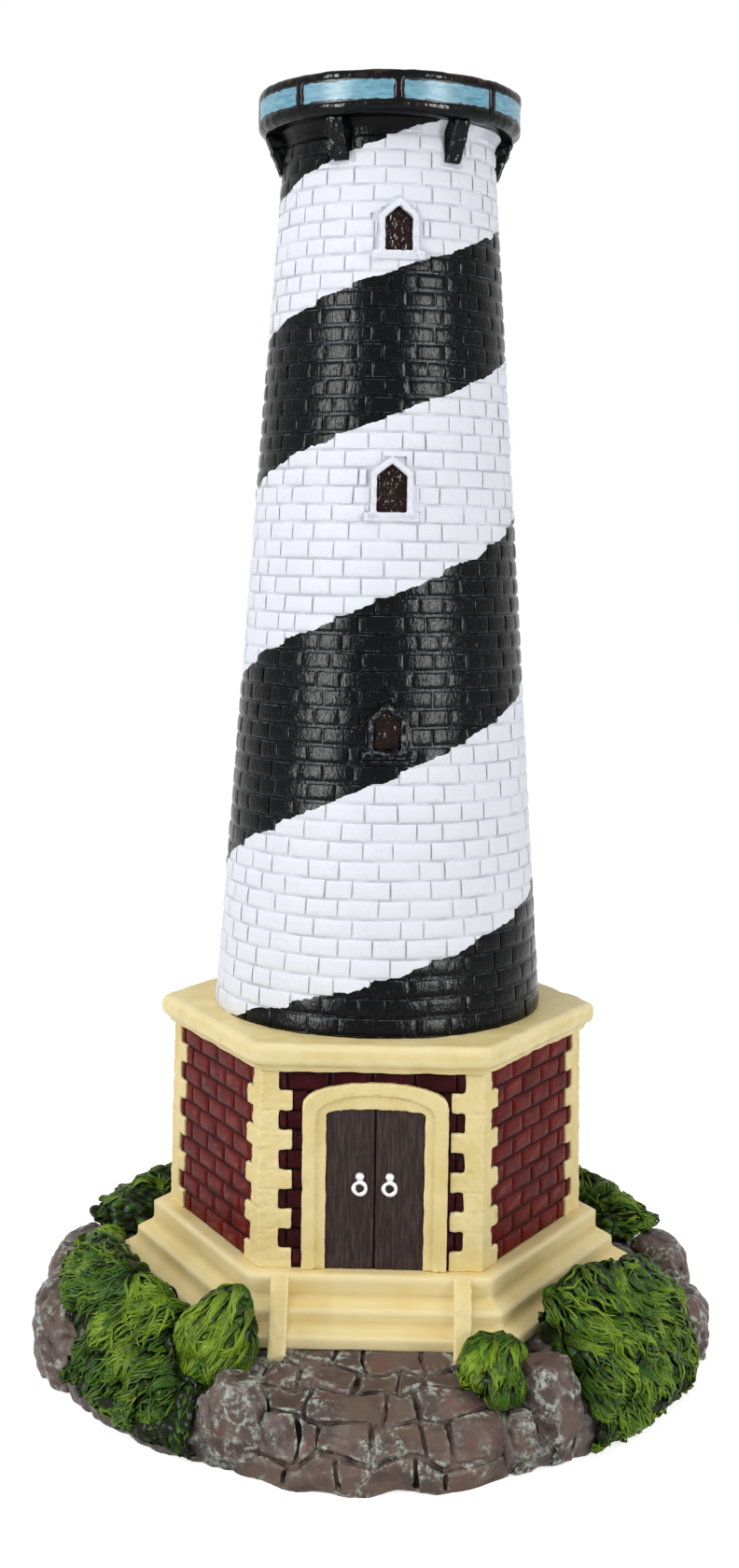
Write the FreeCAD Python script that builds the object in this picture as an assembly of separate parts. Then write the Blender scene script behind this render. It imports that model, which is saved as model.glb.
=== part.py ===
import FreeCAD, Part
import math
import os
from FreeCAD import Vector

# Garden lighthouse: a round brick tower on a six-sided brick house, standing on a rocky island.
# Millimetres. Origin at the centre of the underside, +Z up, the door faces -Y, +X is to the door's right.
# Azimuths are degrees about Z, from the door side (-Y) towards +X.

# Ground and path
ground_bulge_radius = 109.5
ground_bulge_height = 7.0
ground_foot_in = 2.5
ground_shoulder_in = 6.0
ground_shoulder_height = 17.0
ground_rim_in = 14.0
ground_rim_height = 22.5
ground_flat_in = 20.5
ground_top = 27.0
ground_sides = 44
ground_uneven = 0.9
path_start = -19.5
path_end = 22.0
path_inner_radius = 68.0
path_front_foot_out = 2.0
path_front_bulge_out = 3.3
path_front_top_in = 5.0
path_front_top_height = 18.5
path_mid_in = 17.5
path_mid_height = 23.0
path_edge_round = 2.5
flag_rows = (9.5, 19.0, 29.4, 41.5)
flag_counts = (4, 5, 4, 6, 5)
flag_zigzag = 2.1
flag_zigzag_rate = 0.55
flag_row_shift = 1.9
flag_stagger = 0.22
flag_stagger_rate = 2.3
flag_joint = 1.5
flag_joint_depth = 1.3

# Plinth
step_count = 3
plinth_in = 2.5
plinth_ledge = 1.5
step_rise = 3.6
tread_drop = 2.9
stringer_width = 5.6
stringer_left = -27.2
stringer_right = 28.6
stringer_thick = 3.0
stringer_foot_reach = 4.6
stringer_foot_depth = 5.0

# House
house_foot_radius = 67.3
house_top_radius = 65.9
house_height = 62.0
house_wall = 7.0
course_count = 10
quoin_short = 5.2
quoin_long = 9.4
quoin_proud = 1.6
quoin_joint = 0.7
quoin_joint_depth = 0.4
panel_thick = 0.6
brick_proud = 0.6
brick_length = 12.4
brick_joint = 0.8
panel_gap = 0.05

# Door
door_offset = 1.2
opening_width = 30.2
opening_height = 50.5
opening_rise = 1.8
inner_band = 3.3
outer_band = 3.9
inner_band_proud = 1.9
outer_band_proud = 2.9
arch_rise = 8.0
arch_crown_lift = 1.2
arch_squareness = 0.8
leaf_thick = 1.0
leaf_joint = 0.5
board_count = 3
board_joint = 0.35
board_joint_depth = 0.3
handle_height = 29.4
handle_spread = 4.6
handle_ring_radius = 1.85
handle_wire_radius = 0.6
handle_knob_radius = 1.3
handle_drop = 3.9
handle_sides = 14

# Cornice
cornice_radius = 72.0
cornice_fascia = 6.8
cornice_round = 1.6
frieze_radius = 69.3
frieze_height = 2.4

# Tower
tower_foot_radius = 53.4
tower_top_radius = 32.6
tower_height = 276.2
tower_wall = 4.8
cove_height = 5.0
cove_reach = 2.4
cove_steps = 4
window_azimuths = (6.4, 4.2, 3.5)
window_drops = (32.1, 109.3, 182.1)
window_widths = (8.4, 9.3, 8.2)
window_talls = (13.2, 14.6, 12.6)
window_gable = 3.6
window_band = 1.7
window_proud = 1.3
window_seat = 2.2
window_recess = 0.9
sill_height = 2.7
sill_overhang = 2.0

# Gallery
gallery_radius = 41.2
gallery_wall = 3.2
gallery_floor = 3.6
gallery_height = 12.5
gallery_round = 1.1
panel_band_foot = 3.4
panel_band_height = 6.5
mullion_count = 8
mullion_width = 2.2
mullion_azimuth = 4.8
glaze_recess = 0.9
glaze_thick = 0.6
bracket_count = 6
bracket_azimuth = -24.5
bracket_width = 5.2
bracket_reach = 6.4
bracket_height = 12.0
bracket_toe = 1.0
bracket_seat = 1.6

# Drop-in lamp unit
lamp_gap = 0.9
lamp_body_depth = 24.5
lamp_wall = 1.6
floor_thick = 2.6
lamp_flange_gap = 0.6
seal_thick = 0.8
seal_width = 5.0
flange_thick = 1.5
flange_height = 6.8
board_thick = 1.2
board_gap = 0.3
emitter_size = 3.0
emitter_height = 1.4
emitter_count = 6
ring_thick = 1.8
ring_width = 7.3
ring_skirt = 1.5
cell_thick = 1.6
cell_gap = 0.2
battery_radius = 5.25
battery_length = 44.5
battery_gap = 0.3
button_radius = 2.7
button_length = 1.0
contact_thick = 0.5
contact_half_width = 3.6
door_length = 47.6
door_width = 14.0
door_thick = 1.4
door_gap = 0.3
door_ledge = 1.0
door_ear_radius = 3.6
door_ear_offset = 9.4
rib_thick = 1.6
rib_floor = 1.6
rib_half_width = 4.2
screw_radius = 1.0
screw_head_radius = 1.9
screw_head_height = 1.1
screw_length = 7.0
screw_gap = 0.1
screw_slot = 0.5
boss_radius = 2.9
switch_offset = 15.0
switch_slot_length = 8.0
switch_slot_width = 3.4
switch_knob_length = 4.4
switch_knob_width = 2.8
switch_knob_height = 2.6
switch_plate_thick = 0.8
switch_plate_margin = 1.6
switch_gap = 0.1

# Levels worked out from the sizes above
apothem_share = math.cos(math.radians(30))
ground_foot_radius = ground_bulge_radius - ground_foot_in
ground_shoulder_radius = ground_bulge_radius - ground_shoulder_in
ground_rim_radius = ground_bulge_radius - ground_rim_in
ground_flat_radius = ground_bulge_radius - ground_flat_in
path_front_foot_radius = ground_bulge_radius + path_front_foot_out
path_front_bulge = ground_bulge_radius + path_front_bulge_out
path_front_top_radius = ground_bulge_radius - path_front_top_in
path_mid_radius = ground_bulge_radius - path_mid_in
plinth_radius = ground_flat_radius - plinth_in
step_run = (plinth_radius - house_foot_radius - plinth_ledge) / step_count
course_height = house_height / course_count
step_height = step_rise + tread_drop
house_foot = ground_top + step_count * step_height
house_top = house_foot + house_height
cornice_foot = house_top
cornice_top = cornice_foot + frieze_height + cornice_fascia
tower_foot = cornice_top
tower_top = tower_foot + tower_height
window_heights = [tower_top - drop for drop in window_drops]
gallery_top = tower_top + gallery_height
mouth_radius = tower_top_radius - tower_wall
lamp_radius = mouth_radius - lamp_gap

# Stones: azimuth, distance in from the island's widest ring, half width, half depth, foot, height
boulder_places = {
    "boulder_front_left": (-21.6, 7.5, 10.6, 10.5, 5.0, 22.0),
    "boulder_front_right": (32.5, 10.0, 10.8, 12.0, 1.0, 28.5),
    "boulder_right": (101.0, 8.5, 18.5, 11.0, 3.0, 26.0),
}
rim_places = (
    (-97.5, 7.5, 23.0, 12.0, 2.0, 25.5),
    (-71.5, 7.0, 26.0, 13.0, 0.6, 27.0),
    (25.5, 5.0, 5.5, 6.0, 1.0, 17.5),
    (83.0, 6.5, 16.0, 9.2, 2.0, 21.5),
    (136.0, 8.5, 14.0, 10.5, 1.5, 25.0),
    (160.0, 8.0, 17.0, 10.5, 1.0, 26.0),
    (-175.0, 8.5, 15.0, 10.5, 1.0, 24.0),
    (-150.0, 8.5, 16.0, 11.0, 1.5, 27.0),
    (-125.0, 8.0, 15.0, 11.0, 1.0, 24.5),
)
stone_sides = 10
stone_uneven = 0.06
stone_layers = ((0.0, 0.86), (0.34, 1.0), (0.76, 0.9), (1.0, 0.58))
# Grass banks: start and end azimuth, foot at start, middle and end, crest above the ground likewise
bank_places = {
    "grass_bank_left": (-98.0, -27.5, 24.0, 8.0, 2.5, 8.0, 21.0, 11.0),
    "grass_bank_right": (38.3, 92.0, 2.5, 5.0, 20.0, 35.0, 19.5, 2.5),
    "grass_bank_back_left": (-168.0, -100.5, 14.0, 16.0, 23.0, 12.0, 15.0, 17.5),
    "grass_bank_back_right": (103.5, 170.0, 23.0, 16.0, 14.0, 17.0, 17.0, 12.0),
}
bank_inner_gap = 9.0
bank_cover = 2.2
bank_belly = 1.5
bank_belly_rise = 7.5
bank_belly_share = 0.25
bank_shoulder_share = 0.6
bank_shoulder_lean = 0.42
bank_crest_lean = 0.2
bank_back_share = 0.7
bank_lock = 1.7
bank_lock_turn = 5.4
bank_bury = 3.0
bank_end_drop = 0.6
# Grass tufts: azimuth, distance out from the flat top, half width, half depth, height, sway of the tip
tuft_places = {
    "grass_tuft_left": (-30.8, -0.5, 13.5, 11.5, 22.5, 6.0),
    "grass_tuft_right": (24.0, 2.0, 10.0, 13.0, 10.0, 3.5),
}
tuft_lock_count = 9
tuft_uneven = 0.05
tuft_layers = ((0.0, 1.0, 0.0), (0.45, 0.92, 1.0), (0.8, 0.6, -1.0), (1.0, 0.24, 1.0))


def polar(radius, azimuth, z=0.0):
    """Point at a distance from the axis, at an azimuth from the door side."""
    a = math.radians(azimuth)
    return Vector(radius * math.sin(a), -radius * math.cos(a), z)


def save(name, shape):
    """Write one named piece."""
    if not shape.isValid():
        print("not valid:", name)
    shape.exportStep("parts/" + name + ".step")
    print(name, "solids", len(shape.Solids), "volume", round(shape.Volume))


def polygon_face(points):
    """Flat face inside a closed outline."""
    return Part.Face(Part.makePolygon(list(points) + [points[0]]))


def hexagon(radius, z):
    """Corner points of a hexagon with one face towards the door side."""
    return [polar(radius, 30 + 60 * k, z) for k in range(6)]


def hex_solid(low_radius, high_radius, low, high):
    """Six-sided block that may taper."""
    wires = []
    for radius, z in ((low_radius, low), (high_radius, high)):
        points = hexagon(radius, z)
        wires.append(Part.makePolygon(points + [points[0]]))
    return Part.makeLoft(wires, True, True)


def turned(profile, azimuth=0.0, sweep=360.0):
    """Solid turned about the axis from (radius, height) points, over a sweep of azimuth."""
    face = polygon_face([polar(r, azimuth, z) for r, z in profile])
    return face.revolve(Vector(0, 0, 0), Vector(0, 0, 1), sweep)


def tube(outer, inner, low, high):
    """Straight ring about the axis."""
    ring = Part.makeCylinder(outer, high - low, Vector(0, 0, low))
    return ring.cut(Part.makeCylinder(inner, high - low, Vector(0, 0, low)))


def largest(shape):
    """The main solid, without slivers left by a cut."""
    return max(shape.Solids, key=lambda solid: solid.Volume)


def trimmed(shape, tools):
    """A solid cut back where it meets other solids."""
    for tool in tools:
        if shape.BoundBox.intersect(tool.BoundBox):
            shape = shape.cut(tool)
    return largest(shape)


wall_lean = math.atan((house_foot_radius - house_top_radius) * apothem_share / house_height)


def on_face(shape, azimuth):
    """Move a piece drawn flat (x along the wall, y up it, z out of it) to a house face."""
    upright = FreeCAD.Rotation(Vector(1, 0, 0), 90 - math.degrees(wall_lean))
    local = FreeCAD.Placement(Vector(0, 0, 0), upright)
    out = FreeCAD.Placement(Vector(0, -house_foot_radius * apothem_share, house_foot), FreeCAD.Rotation())
    turn = FreeCAD.Placement(Vector(0, 0, 0), FreeCAD.Rotation(Vector(0, 0, 1), azimuth))
    placed = shape.copy()
    placed.Placement = turn.multiply(out).multiply(local)
    return placed


def plate(points, thick, low=0.0):
    """Flat plate with a given outline in the wall's own plane."""
    face = polygon_face([Vector(x, y, low) for x, y in points])
    return face.extrude(Vector(0, 0, thick))


def block(x0, x1, y0, y1, thick, low=0.0):
    """Rectangular plate in the wall's own plane."""
    return Part.makeBox(x1 - x0, y1 - y0, thick, Vector(x0, y0, low))


def face_half(y):
    """Half width of a bare house face at a height above its foot."""
    share = y / house_height
    return (house_foot_radius + (house_top_radius - house_foot_radius) * share) / 2


def tooth_reach(course):
    """How far a quoin reaches from the corner in a course counted from the foot."""
    if course % 2 == 0:
        return quoin_long
    return quoin_short


def panel_half(course):
    """Half width of the brickwork in a course counted from the foot."""
    return face_half(0) - tooth_reach(course)


def stepped_outline(inset):
    """Outline of the brickwork between the toothed quoins, drawn in by a gap."""
    right = []
    for course in range(course_count):
        half = panel_half(course) - inset
        low = course * course_height - inset
        high = (course + 1) * course_height + inset
        if course == 0 or panel_half(course - 1) < panel_half(course):
            low = course * course_height + inset
        if course == course_count - 1 or panel_half(course + 1) < panel_half(course):
            high = (course + 1) * course_height - inset
        right += [(half, low), (half, high)]
    left = [(-x, y) for x, y in reversed(right)]
    return right + left


def arch_points(half, spring, rise, steps=10):
    """Outline of an arched panel that stands on the foot of the wall, flattened at the crown."""
    points = [(door_offset - half, 0.0)]
    for k in range(steps + 1):
        a = math.pi * k / steps
        x = door_offset - half * math.cos(a)
        y = spring + rise * math.sin(a) ** arch_squareness
        points.append((x, y))
    points.append((door_offset + half, 0.0))
    return points


def brick_rows():
    """Bricks of one face in running bond: x0, x1, y0, y1."""
    bricks = []
    pitch = brick_length + brick_joint
    for course in range(course_count):
        half = panel_half(course) - panel_gap
        y0 = course * course_height + brick_joint / 2
        y1 = (course + 1) * course_height - brick_joint / 2
        shift = 0.0 if course % 2 else pitch / 2
        start = -pitch * math.ceil((half + shift) / pitch) + shift
        x = start
        while x < half:
            x0 = max(x + brick_joint / 2, -half)
            x1 = min(x + pitch - brick_joint / 2, half)
            if x1 - x0 > brick_joint:
                bricks.append((x0, x1, y0, y1))
            x += pitch
    return bricks


def brick_panel(azimuth, cutter=None):
    """Brickwork plate of one face: a backing with raised bricks."""
    panel = plate(stepped_outline(panel_gap), panel_thick)
    bricks = [block(x0, x1, y0, y1, brick_proud, panel_thick) for x0, x1, y0, y1 in brick_rows()]
    if cutter:
        panel = panel.cut(cutter)
        bricks = [brick.cut(cutter) for brick in bricks]
        bricks = [brick for brick in bricks if brick.Solids and brick.Volume > brick_proud]
    panel = largest(panel.fuse(bricks))
    return seated(on_face(panel, azimuth))


def quoin_side(mirror):
    """One leg of a corner quoin, drawn at the right end of a face."""
    corner = face_half(0) + quoin_proud
    legs = []
    for course in range(course_count):
        x0 = face_half(0) - tooth_reach(course)
        y0 = course * course_height
        legs.append(block(x0, corner, y0, y0 + course_height, quoin_proud))
    leg = legs[0].fuse(legs[1:]).removeSplitter()
    grooves = []
    for course in range(1, course_count):
        y = course * course_height
        grooves.append(block(0, corner, y - quoin_joint / 2, y + quoin_joint / 2, quoin_joint_depth,
                             quoin_proud - quoin_joint_depth))
    leg = leg.cut(Part.makeCompound(grooves))
    if mirror:
        leg = leg.mirror(Vector(0, 0, 0), Vector(1, 0, 0))
    return leg


def seated(shape):
    """Trim a piece level with the foot and the top of the wall."""
    reach = 2 * house_foot_radius
    room = Part.makeBox(2 * reach, 2 * reach, house_height, Vector(-reach, -reach, house_foot))
    return largest(shape.common(room))


def corner_wedge(azimuth, side):
    """Space on one side of the upright plane through a corner."""
    reach = 3 * house_foot_radius
    points = [Vector(0, 0, 0), polar(reach, azimuth), polar(reach, azimuth + 60 * side)]
    return polygon_face(points).extrude(Vector(0, 0, 3 * house_top))


def quoin(azimuth):
    """Toothed corner stones wrapped round one corner of the house."""
    first = on_face(quoin_side(False), azimuth - 30).common(corner_wedge(azimuth, -1))
    second = on_face(quoin_side(True), azimuth + 30).common(corner_wedge(azimuth, 1))
    return seated(first.fuse(second))


def house_wall_shape():
    """Six-sided hollow wall, leaning in, that carries the panels and quoins."""
    outer = hex_solid(house_foot_radius, house_top_radius, house_foot, house_top)
    inner = hex_solid(house_foot_radius - house_wall, house_top_radius - house_wall, house_foot, house_top)
    return outer.cut(inner)


def stepped_plinth_shape():
    """Three six-sided steps with sloping treads."""
    tiers = []
    for k in range(step_count):
        radius = plinth_radius - k * step_run
        low = ground_top + k * step_height
        if k == step_count - 1:
            tiers.append(hex_solid(radius, radius, low, low + step_height))
        else:
            tiers.append(hex_solid(radius, radius, low, low + step_rise))
            tiers.append(hex_solid(radius, radius - step_run, low + step_rise, low + step_height))
    return tiers[0].fuse(tiers[1:]).removeSplitter()


def stringer_shape(x):
    """Flat cheek rail down the front steps, parallel to their nosings."""
    face_run = step_run * apothem_share
    top_y = (plinth_radius - (step_count - 1) * step_run) * apothem_share
    foot_y = plinth_radius * apothem_share + stringer_foot_reach
    foot_z = ground_top - stringer_foot_depth
    points = [(top_y - face_run, house_foot), (top_y, house_foot),
              (top_y + stringer_thick, house_foot - stringer_thick),
              (foot_y, ground_top), (foot_y, foot_z), (top_y - face_run, foot_z)]
    face = polygon_face([Vector(x - stringer_width / 2, -y, z) for y, z in points])
    return face.extrude(Vector(stringer_width, 0, 0))


def cornice_shape():
    """Six-sided slab with a frieze below its rounded fascia and a low round seat for the tower."""
    frieze = hex_solid(frieze_radius, frieze_radius, cornice_foot, cornice_foot + frieze_height)
    fascia = hex_solid(cornice_radius, cornice_radius, cornice_foot + frieze_height, cornice_top)
    edges = [edge for edge in fascia.Edges if abs(edge.Vertexes[0].Z - edge.Vertexes[1].Z) < 0.01]
    fascia = fascia.makeFillet(min(cornice_round, 0.45 * cornice_fascia), edges)
    return fascia.fuse(frieze)


def opening_outline():
    """Outline of the door opening, drawn on the front face."""
    return arch_points(opening_width / 2, opening_height - opening_rise, opening_rise)


def band_outline(width):
    """Outline of the surround at a distance outside the opening."""
    half = opening_width / 2 + width
    top = opening_height + width + arch_crown_lift
    return arch_points(half, top - arch_rise, arch_rise, 16)


def door_surround_shape():
    """Basket arch in two steps round the door."""
    outer = plate(band_outline(inner_band + outer_band), outer_band_proud)
    step = plate(band_outline(inner_band), outer_band_proud, inner_band_proud)
    hole = plate(opening_outline(), 2 * outer_band_proud, -outer_band_proud / 2)
    return on_face(outer.cut(step).cut(hole), 0)


def door_leaf_shape(side):
    """One leaf of the pair, with shallow board joints."""
    leaf = plate(opening_outline(), leaf_thick)
    half = opening_width / 2
    inner_x = door_offset + side * leaf_joint / 2
    outer_x = door_offset + side * (half + leaf_thick)
    keep = block(min(inner_x, outer_x), max(inner_x, outer_x), 0, opening_height + leaf_thick, leaf_thick)
    leaf = leaf.common(keep)
    grooves = []
    for k in range(1, board_count):
        x = door_offset + side * half * k / board_count
        grooves.append(block(x - board_joint / 2, x + board_joint / 2, 0, opening_height + leaf_thick,
                             board_joint_depth, leaf_thick - board_joint_depth))
    return on_face(leaf.cut(Part.makeCompound(grooves)), 0)


def many_sided(x, y, radius, z):
    """Closed outline of a small round part, in the wall's own plane."""
    points = []
    for k in range(handle_sides):
        a = 2 * math.pi * k / handle_sides
        points.append(Vector(x + radius * math.cos(a), y + radius * math.sin(a), z))
    return Part.makePolygon(points + [points[0]])


def domed(x, y, radius, height):
    """Small round boss with a bevelled top, standing on a door leaf."""
    slope = height / 3
    outlines = [many_sided(x, y, radius, leaf_thick), many_sided(x, y, radius, leaf_thick + height / 2),
                many_sided(x, y, radius - slope, leaf_thick + height)]
    return Part.makeLoft(outlines, True, True)


def ring_handle_shape(side):
    """Knob with a ring hanging under it, cast flat against the leaf."""
    x = door_offset + side * handle_spread
    knob = domed(x, handle_height, handle_knob_radius, handle_knob_radius)
    centre = handle_height - handle_drop
    ring = domed(x, centre, handle_ring_radius + handle_wire_radius, handle_wire_radius)
    eye = Part.Face(many_sided(x, centre, handle_ring_radius - handle_wire_radius, leaf_thick / 2))
    ring = ring.cut(eye.extrude(Vector(0, 0, 2 * leaf_thick)))
    link = block(x - handle_wire_radius, x + handle_wire_radius, centre + handle_ring_radius, handle_height,
                 handle_wire_radius, leaf_thick)
    return on_face(largest(knob.fuse([ring, link])), 0)


def tower_radius(z):
    """Outside radius of the tower at a height."""
    share = (z - tower_foot) / tower_height
    return tower_foot_radius + (tower_top_radius - tower_foot_radius) * share


def window_outline(k, grow):
    """Gabled outline of a window, grown outward by a distance."""
    half = window_widths[k] / 2 + grow
    low = window_heights[k] - window_talls[k] / 2
    high = window_heights[k] + window_talls[k] / 2
    slope = grow * math.hypot(window_gable, window_widths[k] / 2) / (window_widths[k] / 2)
    peak = high + slope
    eaves = peak - window_gable * half / (window_widths[k] / 2)
    return [(-half, low), (half, low), (half, eaves), (0.0, peak), (-half, eaves)]


def radial_prism(points, azimuth, inner, outer):
    """Prism through the tower wall, between two distances from the axis."""
    face = polygon_face([Vector(x, -inner, z) for x, z in points])
    prism = face.extrude(Vector(0, -(outer - inner), 0))
    prism.rotate(Vector(0, 0, 0), Vector(0, 0, 1), azimuth)
    return prism


def sill_outline(k):
    """Outline of the sill under a window."""
    half = window_widths[k] / 2 + window_band + sill_overhang
    low = window_heights[k] - window_talls[k] / 2
    return [(-half, low - sill_height), (half, low - sill_height), (half, low), (-half, low)]


def window_seat_radius(k):
    """Distance from the axis to the back of a window's pocket."""
    return tower_radius(window_heights[k]) - window_seat


def window_pocket(k):
    """Pocket in the tower that a window sits in."""
    back = window_seat_radius(k)
    front = tower_foot_radius + window_proud
    frame = radial_prism(window_outline(k, window_band), window_azimuths[k], back, front)
    return frame.fuse(radial_prism(sill_outline(k), window_azimuths[k], back, front))


def window_frame_shape(k):
    """Hood, jambs and sill in one piece."""
    back = window_seat_radius(k)
    front = tower_radius(window_heights[k]) + window_proud
    frame = radial_prism(window_outline(k, window_band), window_azimuths[k], back, front)
    light = radial_prism(window_outline(k, 0.0), window_azimuths[k], back - window_seat, front + window_seat)
    sill = radial_prism(sill_outline(k), window_azimuths[k], back, front)
    return largest(frame.cut(light).fuse(sill))


def window_pane_shape(k):
    """Dark pane set back inside its frame."""
    back = window_seat_radius(k)
    front = tower_radius(window_heights[k]) - window_recess
    return radial_prism(window_outline(k, 0.0), window_azimuths[k], back, front)


def bracket_pocket(azimuth):
    """Wedge that a bracket fills, from the tower wall out to the gallery's underside."""
    low = tower_top - bracket_height
    root = tower_radius(low) - bracket_seat
    points = [Vector(0, -root, low), Vector(0, -(tower_radius(low) + bracket_toe), low),
              Vector(0, -(tower_top_radius + bracket_reach), tower_top - bracket_toe),
              Vector(0, -(tower_top_radius + bracket_reach), tower_top), Vector(0, -root, tower_top)]
    face = polygon_face(points)
    face.translate(Vector(-bracket_width / 2, 0, 0))
    wedge = face.extrude(Vector(bracket_width, 0, 0))
    wedge.rotate(Vector(0, 0, 0), Vector(0, 0, 1), azimuth)
    return wedge


def tower_shape():
    """Hollow taper with a small cove at its head and pockets for windows and brackets, open at both ends."""
    foot = Vector(0, 0, tower_foot)
    outer = Part.makeCone(tower_foot_radius, tower_top_radius, tower_height, foot)
    cove = [(mouth_radius, tower_top), (mouth_radius, tower_top - cove_height)]
    for k in range(cove_steps + 1):
        share = k / cove_steps
        z = tower_top - cove_height * (1 - share)
        cove.append((tower_radius(z) + cove_reach * share ** 2, z))
    outer = outer.fuse(turned(cove))
    inner = Part.makeCone(tower_foot_radius - tower_wall, mouth_radius, tower_height, foot)
    shell = outer.cut(inner)
    pockets = [window_pocket(k) for k in range(len(window_heights))]
    pockets += [bracket_pocket(bracket_azimuth + 360 / bracket_count * k) for k in range(bracket_count)]
    return largest(shell.cut(Part.makeCompound(pockets)))


def glaze_sector(k, inner, outer):
    """Curved slab between two mullions."""
    spread = 360 / mullion_count
    margin = math.degrees(mullion_width / 2 / gallery_radius)
    start = mullion_azimuth + k * spread + margin
    low = tower_top + panel_band_foot
    high = low + panel_band_height
    return turned([(inner, low), (outer, low), (outer, high), (inner, high)], start, spread - 2 * margin)


def gallery_ring_shape():
    """Round tray on top of the tower: floor with a mouth, upright wall, rounded rim, panel recesses."""
    inside = gallery_radius - gallery_wall
    floor_top = tower_top + gallery_floor
    soft = gallery_round
    profile = [(mouth_radius, tower_top), (gallery_radius - 2 * soft, tower_top),
               (gallery_radius - soft / 2, tower_top + soft), (gallery_radius, tower_top + 2 * soft),
               (gallery_radius, gallery_top - soft), (gallery_radius - soft / 3, gallery_top - soft / 3),
               (gallery_radius - soft, gallery_top), (inside + soft / 2, gallery_top),
               (inside, gallery_top - soft / 2), (inside, floor_top), (mouth_radius, floor_top)]
    back = gallery_radius - glaze_recess
    recesses = [glaze_sector(k, back, gallery_radius + soft) for k in range(mullion_count)]
    return turned(profile).cut(Part.makeCompound(recesses))


def gallery_panels_shape():
    """Eight curved blue panels set in the ring's recesses."""
    back = gallery_radius - glaze_recess
    return Part.makeCompound([glaze_sector(k, back, back + glaze_thick) for k in range(mullion_count)])


flange_foot = tower_top + gallery_floor + seal_thick
flange_radius = gallery_radius - gallery_wall - lamp_flange_gap
flange_top = flange_foot + flange_height
lamp_floor = flange_foot - lamp_body_depth
lamp_inside = lamp_radius - lamp_wall
board_foot = flange_foot + flange_thick
battery_axis = lamp_floor + door_thick + rib_floor + battery_gap + battery_radius
board_radius = flange_radius - lamp_wall - board_gap
ring_inner_radius = board_radius - ring_width


def door_blank(low, high, grow):
    """Battery door blank with its screw ear, grown outward by a gap."""
    half_length = door_length / 2 + grow
    half_width = door_width / 2 + grow
    slab = Part.makeBox(2 * half_length, 2 * half_width, high - low, Vector(-half_length, -half_width, low))
    ear = Part.makeCylinder(door_ear_radius + grow, high - low, Vector(0, -door_ear_offset, low))
    return slab.fuse(ear)


def floor_box(x0, x1, y0, y1, low, high):
    """Upright box between two places along and across the lamp unit."""
    return Part.makeBox(x1 - x0, y1 - y0, high - low, Vector(x0, y0, low))


def lamp_housing_shape():
    """Flanged cup with a battery opening, a screw boss and a switch slot in its floor."""
    body = tube(lamp_radius, lamp_inside, lamp_floor, board_foot)
    floor = Part.makeCylinder(lamp_radius, floor_thick, Vector(0, 0, lamp_floor))
    flange = tube(flange_radius, lamp_inside, flange_foot, board_foot)
    lip = tube(flange_radius, flange_radius - lamp_wall, flange_foot, flange_top)
    boss = Part.makeCylinder(boss_radius, screw_length, Vector(0, -door_ear_offset, lamp_floor))
    shell = body.fuse([floor, flange, lip, boss])
    below = lamp_floor - floor_thick
    above = lamp_floor + 2 * floor_thick
    slot = floor_box(-switch_slot_length / 2, switch_slot_length / 2,
                     switch_offset - switch_slot_width / 2, switch_offset + switch_slot_width / 2,
                     below, above)
    bay_half = battery_length / 2 + contact_thick + battery_gap
    bay_side = door_width / 2 - door_ledge
    bay = floor_box(-bay_half, bay_half, -bay_side, bay_side, below, above)
    opening = door_blank(below, lamp_floor + door_thick, door_gap)
    hole = Part.makeCylinder(screw_radius + screw_gap, screw_length + floor_thick,
                             Vector(0, -door_ear_offset, below))
    return largest(shell.cut(Part.makeCompound([slot, hole])).cut(opening).cut(bay))


def lamp_seal_shape():
    """Flat rubber ring between the flange and the gallery floor."""
    return tube(flange_radius, flange_radius - seal_width, flange_foot - seal_thick, flange_foot)


def circuit_board_shape():
    """Round board that rests on the flange's inner ledge."""
    return Part.makeCylinder(board_radius, board_thick, Vector(0, 0, board_foot))


def emitters_shape():
    """Light emitters in a circle under the clear ring."""
    middle = (ring_inner_radius + ring_skirt + board_radius) / 2
    half = emitter_size / 2
    low = board_foot + board_thick
    chips = []
    for k in range(emitter_count):
        chip = floor_box(-half, half, -middle - half, -middle + half, low, low + emitter_height)
        chip.rotate(Vector(0, 0, 0), Vector(0, 0, 1), 360 / emitter_count * k)
        chips.append(chip)
    return Part.makeCompound(chips)


def light_ring_shape():
    """Clear ring over the emitters, with a skirt down to the board and a ledge for the solar cell."""
    low = board_foot + board_thick
    top = flange_top
    skirt_in = ring_inner_radius - ring_skirt
    skirt_out = ring_inner_radius + ring_skirt
    bevel = ring_thick / 3
    profile = [(skirt_in, low), (skirt_out, low), (skirt_out, top - ring_thick),
               (board_radius, top - ring_thick), (board_radius, top - bevel), (board_radius - bevel, top),
               (ring_inner_radius, top), (ring_inner_radius, top - cell_thick), (skirt_in, top - cell_thick)]
    return turned(profile)


def solar_cell_shape():
    """Dark disc that closes the middle of the clear ring."""
    return Part.makeCylinder(ring_inner_radius - cell_gap, cell_thick, Vector(0, 0, flange_top - cell_thick))


def battery_shape():
    """Rechargeable cell lying across the housing, with its raised button at one end."""
    along = Vector(1, 0, 0)
    start = Vector(-battery_length / 2, 0, battery_axis)
    can = Part.makeCylinder(battery_radius, battery_length - button_length, start, along)
    button = Part.makeCylinder(button_radius, battery_length, start, along)
    return can.fuse(button)


def contacts_shape():
    """Two upright plates that the cell sits between."""
    low = lamp_floor + door_thick
    high = battery_axis + battery_radius
    right = floor_box(battery_length / 2, battery_length / 2 + contact_thick,
                      -contact_half_width, contact_half_width, low, high)
    left = right.mirror(Vector(0, 0, 0), Vector(1, 0, 0))
    return Part.makeCompound([left, right])


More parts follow.
